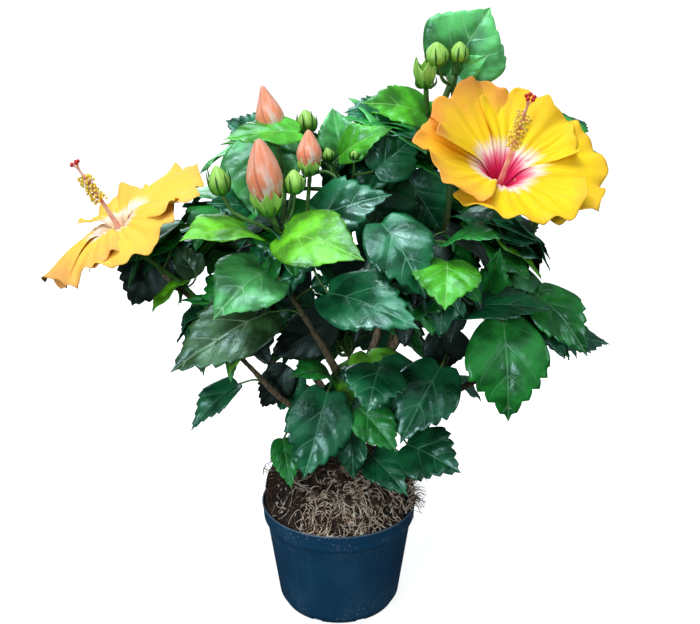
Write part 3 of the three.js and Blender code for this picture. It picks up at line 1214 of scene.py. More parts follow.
@dataclass
class Limbs:
    """The trunk, its boughs and the green shoots that carry leaves, buds and blooms."""

    foot: np.ndarray
    fork: np.ndarray
    trunk_radii: tuple[float, float] = (7.0, 5.2)
    flare: float = 4.0
    bough_radii: tuple[float, float] = (4.3, 2.4)
    grain: float = 1.3
    lines: list[np.ndarray] = field(default_factory=list)
    shoots: Sheaf = field(default_factory=Sheaf)

    @classmethod
    def from_frame(cls) -> "Limbs":
        """The limbs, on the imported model's trunk."""
        low, high = node_box("trunk")
        foot = np.array([high[0] - 11.0, 0.5 * (low[1] + high[1]), low[2]])
        return cls(foot=foot, fork=np.array([14.0, 0.0, high[2] - 1.0]))

    def _woody(self, path: np.ndarray, radii: np.ndarray) -> bpy.types.Object:
        """A round limb made from a curve, as a mesh of its own.

        Args:
            path: The limb's middle line.
            radii: Its radius at each point.

        Returns:
            The limb.
        """
        data = bpy.data.curves.new("limb", "CURVE")
        data.dimensions = "3D"
        data.bevel_depth = 1.0
        data.bevel_resolution = 5
        data.use_fill_caps = True
        spline = data.splines.new("POLY")
        spline.points.add(len(path) - 1)
        for point, place, radius in zip(spline.points, path * MM, radii * MM):
            point.co = (*place, 1.0)
            point.radius = radius
        limb = bpy.data.objects.new("limb", data)
        bpy.context.scene.collection.objects.link(limb)
        pick(limb)
        bpy.ops.object.convert(target="MESH")
        return limb

    def build(self, finish: StemFinish) -> bpy.types.Object:
        """Make the trunk and boughs one grown-together mesh with the bark's relief.

        Args:
            finish: The bark's finish.

        Returns:
            The piece.
        """
        along = np.linspace(0, 1, 16)
        middle = 0.5 * (self.foot + self.fork) + np.array([3.0, 2.0, 0.0])
        trunk = curve_through([self.foot, middle, self.fork], 16)
        radii = np.interp(along, [0, 1], self.trunk_radii) + self.flare * np.exp(-6 * along)
        parts = [self._woody(trunk, radii)]
        for bough in BOUGHS:
            start = self.foot + (self.fork - self.foot) * bough.leaves
            low, high = node_box(bough.into)
            end = np.array(STALK_FEET.get(bough.into, 0.5 * (low + high)))
            bow = 0.5 * (start + end) + np.array(bough.bow)
            path = curve_through([start, bow, end], 40)
            self.lines.append(path)
            wide, thin = self.bough_radii
            along = np.linspace(0, 1, 40)
            parts.append(self._woody(path, wide + (thin - wide) * along + np.exp(-8 * along)))
        pick(*parts)
        bpy.ops.object.join()
        wood = parts[0]
        wood.name = wood.data.name = "trunk_and_boughs"
        self._relief(wood)
        wood.data.materials.clear()
        wood.data.materials.append(finish.bark("bark"))
        return adopt(wood, ("trunk", *(bough.node for bough in BOUGHS)))

    def _relief(self, wood: bpy.types.Object) -> None:
        """Grow the limbs together and raise ridges and knots on them.

        Args:
            wood: The joined limbs, as the active object.
        """
        merge = wood.modifiers.new("grown_together", "REMESH")
        merge.mode = "VOXEL"
        merge.voxel_size = self.grain * MM
        bpy.ops.object.modifier_apply(modifier=merge.name)
        even = wood.modifiers.new("even", "SMOOTH")
        even.iterations = 3
        bpy.ops.object.modifier_apply(modifier=even.name)
        raise_relief(wood, (("knots", 0.016, 1.6), ("ridges", 0.0045, 0.8)))
        wood.data.shade_smooth()

    def shoot(self, points: list[Triple], radii: tuple[float, float], sides: int = 8) -> None:
        """Grow a green shoot through the given points, with swellings at its nodes.

        Args:
            points: The points that it grows through.
            radii: Its radius at its foot and at its tip.
            sides: How many sides it has.
        """
        path = curve_through(points, 6 + 4 * len(points))
        along = np.linspace(0, 1, len(path))
        radius = radii[0] + (radii[1] - radii[0]) * along
        radius = radius * (1.0 + 0.10 * np.sin(along * 23.0) ** 8)
        self.shoots.add(*tube(path, radius, sides))
        self.lines.append(path)

    def nearest(self, place: np.ndarray) -> np.ndarray:
        """The point on any limb that a leaf's stalk at this place would come from.

        Args:
            place: The end of the stalk that bears the leaf.

        Returns:
            The point, with those above the place held to be further off.
        """
        points = np.vstack(self.lines)
        away = points - place
        distance = np.linalg.norm(away, axis=1) + 0.6 * np.maximum(away[:, 2], 0)
        return points[int(np.argmin(distance))]

    def stalk(self, leaf: Leaf, sheaf: Sheaf) -> None:
        """Join a leaf to the nearest limb by its stalk.

        Args:
            leaf: The leaf.
            sheaf: Takes the stalk.
        """
        start = self.nearest(leaf.foot)
        way = unit(leaf.tip - leaf.foot)
        reach = float(np.linalg.norm(leaf.foot - start))
        middle = 0.5 * (start + leaf.foot) - way * 0.12 * reach + UP * 0.05 * reach
        path = curve_through([start, middle, leaf.foot + way * 1.5], 9)
        wide = 1.25 if reach < 60 else 1.8
        radii = np.interp(np.linspace(0, 1, 9), [0, 0.5, 1], [wide, wide - 0.3, 1.0])
        sheaf.add(*tube(path, radii, 6))


@dataclass
class Crown:
    """All the leaves: the leading ones at the front, and the ones that a rule grows."""

    limbs: Limbs
    chance: np.random.Generator
    middle: tuple[float, float, float] = (20.0, 20.0, 300.0)
    deepest: float = 168.0
    turn: float = math.radians(137.5)
    leaves: dict[str, list[Leaf]] = field(default_factory=dict)

    def grow(self) -> None:
        """Set the leading leaves, then grow the sprays."""
        for leading in LEADING_LEAVES:
            leaf = leading.leaf(self.chance)
            part = self.part_of(leaf.foot)
            self.leaves.setdefault(part, []).append(leaf)
        for spray in SPRAYS:
            if spray.leaves:
                self._spray(spray)

    @staticmethod
    def part_of(place: np.ndarray) -> str:
        """The part of the crown that a place belongs to.

        Args:
            place: A leaf's foot.

        Returns:
            The part's name.
        """
        if place[2] > 425:
            return "top"
        if place[2] < 235:
            return "low"
        if place[0] < -75:
            return "left"
        return "right" if place[0] > 95 else "front"

    def _spray(self, spray: Spray) -> None:
        """Grow twigs from a mass's middle, with leaves turned about them by the golden angle.

        Args:
            spray: What to grow.
        """
        low, high = node_box(spray.node)
        middle = 0.5 * (low + high)
        half = 0.5 * (high - low)
        middle = middle + np.array([0.0, spray.keep_back, spray.lifted])
        half = half - np.array([0.0, 0.5 * spray.keep_back, spray.lifted])
        twigs = max(2, round(spray.leaves / 4))
        outward = unit((middle - np.array(self.middle)) * np.array([1, 1, 0.6]))
        root = self.limbs.nearest(middle)
        grown = 0
        for twig in range(twigs):
            way = unit(outward * 0.7 + UP * 0.35 + self.chance.normal(0, 0.75, 3))
            end = middle + way * half * self.chance.uniform(0.30, 0.80)
            bend = 0.5 * (root + end) + self.chance.normal(0, 5, 3) + UP * 5
            self.limbs.shoot([tuple(root), tuple(bend), tuple(end)], (2.3, 1.2), 7)
            path = self.limbs.lines[-1]
            share = (spray.leaves - grown) // (twigs - twig)
            start_turn = self.chance.uniform(0, 2 * math.pi)
            for i in range(share):
                at = 0.35 + 0.65 * (i + 0.6) / share
                foot = path[min(len(path) - 1, int(at * len(path)))]
                turn = start_turn + i * self.turn
                leaf = self._leaf(spray, foot, unit(end - root), turn, middle, half, at)
                self.leaves.setdefault(spray.part, []).append(leaf)
                grown += 1

    def _leaf(
        self,
        spray: Spray,
        node: np.ndarray,
        shoot: np.ndarray,
        turn: float,
        middle: np.ndarray,
        half: np.ndarray,
        at: float,
    ) -> Leaf:
        """One leaf of a spray.

        Args:
            spray: The spray that it belongs to.
            node: Where its stalk leaves the twig.
            shoot: The twig's direction.
            turn: How far round the twig it stands, in radians.
            middle: The middle of the spray.
            half: The spray's half sizes.
            at: How far along the twig it stands.

        Returns:
            The leaf.
        """
        chance = self.chance
        around = Frame.looking(node, shoot, UP)
        out = around.side * math.cos(turn) + around.face * math.sin(turn)
        outward = unit((node - np.array(self.middle)) * np.array([1, 1, 0.5]))
        heading = unit(out * 0.9 + outward * 0.75 + shoot * 0.25)
        heading[2] = heading[2] * 0.4
        heading = unit(heading)
        droop = math.radians(chance.uniform(5, 58))
        length = chance.uniform(62, 96) * (1.0 - 0.25 * max(0.0, at - 0.7))
        stalk = chance.uniform(14, 30)
        foot = node + unit(heading + UP * 0.5) * stalk
        way = unit(heading * math.cos(droop) - UP * math.sin(droop))
        tip = foot + way * length * 0.93
        past = float(np.linalg.norm((tip - middle) / (half * spray.roam)))
        if past > 1.0:
            pull = (tip - middle) * (1.0 - 1.0 / past)
            foot = foot - pull
            tip = tip - pull
        over = max(0.0, tip[1] - self.deepest)
        foot[1] -= over
        tip[1] -= over
        young = chance.random() < spray.young + 0.25 * max(0.0, at - 0.8)
        shade = chance.random()
        # painted shade: a share of the leaves take the near-black tint that stands in for shade
        # inside the crown
        tint = Tint.DARK if shade < spray.painted_shade_share else Tint.DEEP if shade < 0.68 else Tint.MID
        if young:
            tint = (Tint.BRIGHT, Tint.LIME, Tint.LIGHT)[chance.integers(3)]
        return Leaf(
            foot=foot,
            tip=tip,
            face=unit(UP * 1.0 + heading * 0.35 + outward * 0.35 + chance.normal(0, 0.22, 3)),
            breadth=length * chance.uniform(0.66, 0.82),
            tint=tint,
            arch=chance.uniform(0.06, 0.17),
            fold=chance.uniform(0.05, 0.34),
            wave=chance.uniform(1.0, 3.2),
            phase=chance.uniform(0, 1),
            skew=chance.uniform(-0.08, 0.08),
        )

    def build(self, stems: StemFinish) -> None:
        """Make the leaves' pieces, one for each tint in each part, and the shoots' piece.

        Args:
            stems: The finish of shoots and stalks.
        """
        nodes = {spray.node for spray in SPRAYS}
        upper = {t: f.upper(f"leaf_{t.value}") for t, f in LEAF_FINISHES.items()}
        under = {t: f.under(f"leaf_{t.value}_underside") for t, f in LEAF_FINISHES.items()}
        stalks = Sheaf()
        for part, leaves in sorted(self.leaves.items()):
            for tint in Tint:
                sheaf = Sheaf()
                for leaf in leaves:
                    if leaf.tint is tint:
                        leaf.add_to(sheaf)
                        self.limbs.stalk(leaf, stalks)
                replaces = tuple(sorted(nodes))
                nodes = set()
                name = f"leaves_{part}_{tint.value}"
                made = sheaf.piece(name, [upper[tint], under[tint]], "foliage", replaces)
                if made is None:
                    nodes = set(replaces)
        stalks.piece("leaf_stalks", [stems.shoot("leaf_stalk", (0.12, 0.27, 0.05))], "foliage")
        green = stems.shoot("green_shoot", (0.075, 0.19, 0.03))
        self.limbs.shoots.piece("green_shoots", [green], "bark")


# ---------------------------------------------------------------- buds and blooms


@dataclass
class Buds:
    """Salmon buds in their calyxes, green buds, and the open calyx of a bloom that has gone."""

    limbs: Limbs
    chance: np.random.Generator
    petals: Sheaf = field(default_factory=Sheaf)
    calyxes: Sheaf = field(default_factory=Sheaf)
    bracts: Sheaf = field(default_factory=Sheaf)
    twist: float = 0.35

    def cup(self, frame: Frame, height: float, radius: float, lobe: float, open_: float) -> None:
        """A calyx: a double-walled cup with five pointed lobes.

        Args:
            frame: Where it stands; its axis is the frame's face.
            height: Its height to the foot of the lobes.
            radius: Its widest radius.
            lobe: How far the lobes rise above the cup.
            open_: How much the lobes lean out, from 0 to 1.
        """
        sides = 60
        turns = np.linspace(0, 2 * math.pi, sides, endpoint=False)
        wave = np.abs(((turns * 5 / (2 * math.pi)) % 1.0) - 0.5) * 2
        rise = height + lobe * wave**1.3
        run = np.linspace(0, 1, 12)[:, None]
        bulge = np.sin(1.45 * run) ** 0.9
        outer = radius * (0.30 + 0.70 * bulge) * (1 + open_ * run**2 * 0.45)
        outer = outer * (1.0 - 0.05 * np.cos(turns * 5) * run)
        tall = run * rise[None, :]
        radii = np.vstack([outer, outer[::-1] - 0.5])
        heights = np.vstack([tall, tall[::-1] + np.linspace(0, 0.7, 12)[:, None]])
        points, faces, place = turned(radii, heights, sides)
        place[:, 0] = np.tile(np.repeat(np.linspace(0, 1, 12), sides), 2)
        place[12 * sides :, 0] = place[: 12 * sides, 0][::-1]
        self.calyxes.add(frame.put(points), faces, place)

    def ruff(self, frame: Frame, radius: float, length: float, count: int = 7) -> None:
        """The ring of narrow curved bracts under a calyx.

        Args:
            frame: The calyx's frame.
            radius: The calyx's radius near its foot.
            length: How long the bracts are, on average.
            count: How many there are.
        """
        for i in range(count):
            turn = 2 * math.pi * i / count + self.chance.uniform(-0.15, 0.15)
            out = np.array([math.cos(turn), math.sin(turn), 0.0])
            reach = length * self.chance.uniform(0.8, 1.15)
            knots = [
                out * 1.5,
                out * (radius * 0.72 + 0.5) + UP * reach * 0.12,
                out * (radius + 1.0) + UP * reach * 0.50,
                out * (radius + 0.9) + UP * reach,
            ]
            path = curve_through(np.array(knots), 9)
            radii = np.array([0.9, 1.0, 1.1, 1.1, 1.0, 0.9, 0.7, 0.5, 0.25])
            points, faces, place = tube(frame.put(path), radii, 5)
            self.bracts.add(points, faces, place)

    def salmon(self, foot: Triple, tip: Triple, radius: float, point: float) -> None:
        """A bud that shows its furled petals.

        Args:
            foot: The foot of its calyx.
            tip: Its tip.
            radius: Its widest radius.
            point: How sharply it tapers to its tip, from 0 to 1.
        """
        axis = np.array(tip, dtype=float) - np.array(foot, dtype=float)
        length = float(np.linalg.norm(axis))
        frame = Frame.facing(foot, axis)
        sides = 48
        turns = np.linspace(0, 2 * math.pi, sides, endpoint=False)[None, :]
        run = np.linspace(0.0, 1.0, 36)[:, None]
        profile = np.sin(math.pi * np.clip(run, 0, 1) ** 0.85) ** 0.62
        profile = profile * (1 - point * smooth(0.35, 1.0, run)) + 0.05
        furl = ((turns / (2 * math.pi) * 3 + run * self.twist) % 1.0) - 0.5
        ridge = 0.10 * np.exp(-((furl / 0.10) ** 2)) - 0.09 * np.exp(-(((furl - 0.13) / 0.06) ** 2))
        radii = radius * profile * (1 + ridge * smooth(0.05, 0.4, run))
        heights = length * (0.10 + 0.90 * run) * np.ones_like(turns)
        points, faces, place = turned(radii, heights, sides)
        self.petals.add(frame.put(points), faces, place)
        self.cup(frame, length * 0.23, radius * 1.0, length * 0.22, 0.0)
        self.ruff(frame, radius * 0.62, length * 0.20)

    def green(self, foot: Triple, tip: Triple, radius: float) -> None:
        """A young bud, still closed in its calyx.

        Args:
            foot: Its foot.
            tip: Its tip.
            radius: Its widest radius.
        """
        axis = np.array(tip, dtype=float) - np.array(foot, dtype=float)
        length = float(np.linalg.norm(axis))
        frame = Frame.facing(foot, axis)
        sides = 40
        turns = np.linspace(0, 2 * math.pi, sides, endpoint=False)[None, :]
        run = np.linspace(0.0, 1.0, 22)[:, None]
        profile = np.sin(math.pi * run**0.8) ** 0.62 * (1 - 0.30 * run**2) + 0.05
        seam = 1 + 0.07 * np.abs(np.cos(turns * 2.5)) * smooth(0.1, 0.5, run)
        points, faces, place = turned(radius * profile * seam, length * run + 0 * turns, sides)
        self.calyxes.add(frame.put(points), faces, place)
        self.ruff(frame, radius * 0.95, length * 0.85)

    def build(self) -> None:
        """Set every bud on its stalk and make the pieces."""
        node = (-46.0, -74.0, 396.0)
        self.limbs.shoot([(-36, -58, 352), (-41, -66, 376), node], (3.4, 2.6), 10)
        self.salmon((-54, -81, 414), (-62, -82, 477), 14.0, 0.22)
        self.limbs.shoot([node, (-50, -79, 405), (-54, -81, 415)], (2.4, 2.9))
        self.salmon((-51, -30, 462), (-62, -30, 511), 11.5, 0.50)
        self.limbs.shoot([node, (-44, -50, 430), (-51, -30, 463)], (1.8, 2.0))
        self.salmon((-22, -60, 443), (-23, -60, 480), 10.0, 0.35)
        self.limbs.shoot([(-28, -60, 388), (-25, -60, 412), (-22, -60, 444)], (1.7, 1.7))
        self.green((-93, -80, 431), (-97, -80, 455), 8.6)
        self.limbs.shoot([node, (-62, -82, 406), (-84, -82, 417), (-93, -80, 432)], (1.8, 1.4))
        self.green((-34, -72, 430), (-35, -72, 450), 8.4)
        self.limbs.shoot([node, (-37, -73, 414), (-34, -72, 431)], (1.6, 1.2))
        self.green((-26, 0, 466), (-28, 0, 486), 8.4)
        self.limbs.shoot([node, (-34, -36, 436), (-26, 0, 467)], (1.6, 1.3))
        self.green((-6, -30, 448), (-9, -30, 459), 4.8)
        self.limbs.shoot([(10, -16, 418), (0, -26, 434), (-6, -30, 449)], (1.2, 0.9))
        self.green((14, -24, 448), (15, -25, 456), 3.6)
        self.limbs.shoot([(10, -16, 418), (14, -22, 436), (14, -24, 449)], (1.0, 0.8))
        crown = (100.0, 4.0, 514.0)
        self.green((84, -14, 526), (82, -20, 545), 9.6)
        self.limbs.shoot([(97, 4, 506), (89, -7, 513), (84, -14, 527)], (1.6, 1.5))
        self.green((102, -12, 528), (102, -16, 545), 7.6)
        self.limbs.shoot([crown, (101, -6, 520), (102, -12, 529)], (1.5, 1.3))
        spent = Frame.facing((75, -8, 506), np.array([-0.06, -0.16, 1.0]))
        self.cup(spent, 17.0, 11.5, 9.0, -0.35)
        self.ruff(spent, 8.0, 10.0)
        self.limbs.shoot([(80, 6, 462), (77, -2, 486), (75, -8, 507)], (2.1, 2.1))
        self.limbs.shoot([(92, 4, 470), (92, 5, 492), crown], (2.6, 2.8))
        self.petals.piece("salmon_buds", [BudFinish().material("salmon_petal")], "petals")
        self.calyxes.piece("calyxes", [CalyxFinish().material("calyx_green")], "foliage")
        bract = StemFinish().shoot("bract_green", (0.050, 0.20, 0.025))
        self.bracts.piece("bracts", [bract], "foliage")


@dataclass
class Bloom:
    """An open bloom: five broad ruffled petals, the column of stamens, calyx and stalk."""

    node: str
    throat: np.ndarray
    faces: np.ndarray
    cup: float
    column: float
    turns: Five
    reaches: Five
    lifts: Five
    finish: PetalFinish
    chance: np.random.Generator
    depth: float = 23.0
    spiral: float = 2.39996

    def frame(self) -> Frame:
        """The bloom's frame: its throat, with its axis as the face."""
        return Frame.facing(self.throat, self.faces)

    def petal(self, index: int, rows: int = 40, columns: int = 49) -> tuple[np.ndarray, np.ndarray]:
        """The upper side of one petal.

        Args:
            index: Which of the five it is.
            rows: Points along it.
            columns: Points across it.

        Returns:
            Its points about the bloom's frame, and each point's place on the petal.
        """
        along = np.linspace(0, 1, rows)[:, None]
        across = np.linspace(-1, 1, columns)[None, :]
        out = np.abs(across)
        seed = self.chance.uniform(0, 6.283, 4)
        half_turn = np.radians(47 + 7 * smooth(0.0, 0.75, along))
        notch = 0.030 * np.sin(across * 9 + seed[0]) + 0.022 * np.sin(across * 17 + seed[1])
        edge = self.reaches[index] * (1.0 - 0.16 * out**2.6 + notch * smooth(0.6, 1.0, along))
        radius = 5.0 + (edge - 5.0) * along
        turn = math.radians(self.turns[index]) + across * half_turn
        rise = self.cup * along**0.8 - self.depth * np.exp(-along / 0.10)
        reflex = self.lifts[index] * along**2.2
        overlap = 3.4 * across * smooth(0.08, 0.4, along)
        big = 5.6 * along**3 * np.sin(across * 4.4 + seed[2])
        fine = 3.2 * along**7 * np.sin(across * 13.0 + seed[3])
        frill = 1.6 * along**12 * np.sin(across * 27.0 + seed[1])
        pleats = 0.9 * np.sin(across * 26.0 + seed[0]) * np.sqrt(np.sin(math.pi * along))
        crease = -1.8 * np.exp(-((across / 0.13) ** 2)) * np.sin(math.pi * along)
        z = rise + reflex + overlap + big + fine + frill + pleats + crease
        x = radius * np.cos(turn)
        y = radius * np.sin(turn)
        points = np.stack(np.broadcast_arrays(x, y, z), axis=-1).reshape(-1, 3)
        number = np.full((1, 1), float(index))
        place = np.stack(np.broadcast_arrays(along, across, number), axis=-1).reshape(-1, 3)
        return points, place

    def build_petals(self) -> None:
        """Make the five petals, each a thin shell, as the piece that stands for the bloom."""
        frame = self.frame()
        sheaf = Sheaf()
        for index in range(5):
            points, place = self.petal(index)
            upper = frame.put(points)
            beneath = upper - frame.face * 0.5
            top, rest = shell_faces(40, 49)
            sheaf.add(np.vstack([upper, beneath]), [top, rest], np.vstack([place, place]))
        material = self.finish.material(f"{self.node}_petal")
        sheaf.piece(f"{self.node}_petals", [material], "petals", (self.node,))

    def build_column(self, column: Sheaf, anthers: Sheaf, pads: Sheaf) -> None:
        """Add the column with its stamens and its five branches to the shared sheaves.

        Args:
            column: Takes the column, filaments and branches.
            anthers: Takes the yellow anthers.
            pads: Takes the red pads at the tip.
        """
        frame = self.frame()
        top = self.column * 0.86
        knots = np.array([[0, 0, 2.0 - self.depth], [0.6, 0.8, top * 0.5], [0, 0, top]])
        path = curve_through(knots, 24)
        radii = np.interp(np.linspace(0, 1, 24), [0, 0.3, 1], [3.0, 2.1, 1.2])
        points, faces, place = tube(frame.put(path), radii, 12)
        column.add(points, faces, place)
        for i in range(78):
            height = top * (0.38 + 0.50 * (i + self.chance.uniform(0, 1)) / 78)
            turn = i * self.spiral
            out = np.array([math.cos(turn), math.sin(turn), 0.0])
            long = self.chance.uniform(3.6, 6.4)
            start = out * 1.2 + UP * height
            end = out * long + UP * (height + long * self.chance.uniform(0.25, 0.7))
            filament = frame.put(np.array([start, 0.5 * (start + end) + UP * 0.3, end]))
            column.add(*tube(filament, np.array([0.32, 0.28, 0.25]), 4))
            anthers.add(*ball(frame.put(end[None, :])[0], 1.35, self.chance))
        for i in range(5):
            turn = 2 * math.pi * (i + 0.2) / 5
            out = np.array([math.cos(turn), math.sin(turn), 0.0])
            tip = UP * self.column + out * 3.4
            knots = np.array([UP * (top - 1), UP * (top + 4.5) + out * 1.0, tip])
            column.add(*tube(frame.put(curve_through(knots, 7)), np.linspace(0.8, 0.5, 7), 6))
            pads.add(*ball(frame.put(knots[-1:])[0], 1.75, self.chance))


def ball(
    centre: np.ndarray, radius: float, chance: np.random.Generator
) -> tuple[np.ndarray, list, np.ndarray]:
    """A small rounded lump with a few dozen faces.

    Args:
        centre: Its middle.
        radius: Its radius.
        chance: Makes each lump a little different.

    Returns:
        Its points, its arrays of faces, and its points' places.
    """
    run = np.linspace(0.06, 0.94, 6)
    radii = np.sin(math.pi * run) * radius * chance.uniform(0.85, 1.1)
    heights = -np.cos(math.pi * run) * radius
    points, faces, place = turned(radii, heights, 8)
    return points + centre, faces, place


# ---------------------------------------------------------------- pot and potting mix


@dataclass
class Pot:
    """The thin plastic pot: a tapered wall, a band under the rim and notches at the foot."""

    rim: float
    height: float
    band: float = 16.0
    sides: int = 144
    notches: int = 8
    notch: tuple[float, float] = (9.0, 5.5)

    @classmethod
    def from_frame(cls) -> "Pot":
        """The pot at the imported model's size."""
        low, high = node_box("pot")
        return cls(rim=high[0], height=high[2])

    def profile(self) -> list[tuple[float, float]]:
        """Radius and height along the wall: up the outside, over the lip and down the inside."""
        r, h, band = self.rim, self.height, self.height - self.band
        return [
            (53.4, 0.0),
            (54.6, 0.7),
            (58.4, 7.2),
            (59.2, 8.8),
            (r - 5.0, band - 5.4),
            (r - 4.3, band - 4.0),
            (r - 2.2, band - 0.8),
            (r - 1.6, band + 0.8),
            (r - 0.7, h - 2.6),
            (r - 0.1, h - 1.6),
            (r, h - 0.7),
            (r - 0.5, h),
            (r - 1.4, h - 0.2),
            (r - 1.9, h - 1.4),
            (r - 3.2, band + 1.0),
            (r - 6.9, band - 4.6),
            (57.4, 8.8),
            (52.0, 3.4),
        ]

    def build(self, finish: PotFinish) -> bpy.types.Object:
        """Turn the wall ring by ring, cut the notches and dress the pot.

        Args:
            finish: The plastic's finish.

        Returns:
            The piece.
        """
        bpy.ops.object.select_all(action="DESELECT")
        rings = self.profile()
        radius, level = rings[0]
        bpy.ops.mesh.primitive_circle_add(
            vertices=self.sides, radius=radius * MM, fill_type="NGON", location=(0, 0, level * MM)
        )
        pot = bpy.context.object
        pot.name = pot.data.name = "nursery_pot"
        bpy.ops.object.transform_apply(location=True)
        bpy.ops.object.mode_set(mode="EDIT")
        bpy.ops.mesh.select_all(action="SELECT")
        for wider, higher in rings[1:]:
            draw_ring(wider / radius, (higher - level) * MM)
            radius, level = wider, higher
        bpy.ops.object.mode_set(mode="OBJECT")
        self._close(pot)
        self._cut_notches(pot)
        pot.data.shade_smooth()
        pick(pot)
        bpy.ops.object.shade_smooth_by_angle(angle=math.radians(38))
        pot.data.materials.clear()
        pot.data.materials.append(finish.material("nursery_plastic", self.height * MM))
        return adopt(pot, ("pot",))

    @staticmethod
    def _close(pot: bpy.types.Object) -> None:
        """Turn every face outwards.

        Args:
            pot: The turned pot, as the active object.
        """
        bpy.ops.object.mode_set(mode="EDIT")
        bpy.ops.mesh.select_all(action="SELECT")
        bpy.ops.mesh.remove_doubles(threshold=1e-5)
        bpy.ops.mesh.normals_make_consistent(inside=False)
        bpy.ops.object.mode_set(mode="OBJECT")

    def _cut_notches(self, pot: bpy.types.Object) -> None:
        """Cut the drain notches through the bottom edge.

        Args:
            pot: The turned pot.
        """
        wide, tall = self.notch
        cutters = []
        for i in range(self.notches):
            turn = 2 * math.pi * (i + 0.5) / self.notches
            place = (57.0 * MM * math.cos(turn), 57.0 * MM * math.sin(turn), 0.0)
            bpy.ops.mesh.primitive_cube_add(size=1.0, location=place, rotation=(0, 0, turn))
            block = bpy.context.object
            block.scale = (9.0 * MM, wide * MM, 2 * tall * MM)
            bpy.ops.object.transform_apply(location=True, rotation=True, scale=True)
            cutters.append(block)
        for block in cutters:
            pick(pot)
            cut = pot.modifiers.new("notch", "BOOLEAN")
            cut.operation = "DIFFERENCE"
            cut.solver = "EXACT"
            cut.object = block
            bpy.ops.object.modifier_apply(modifier=cut.name)
            bpy.data.objects.remove(block, do_unlink=True)


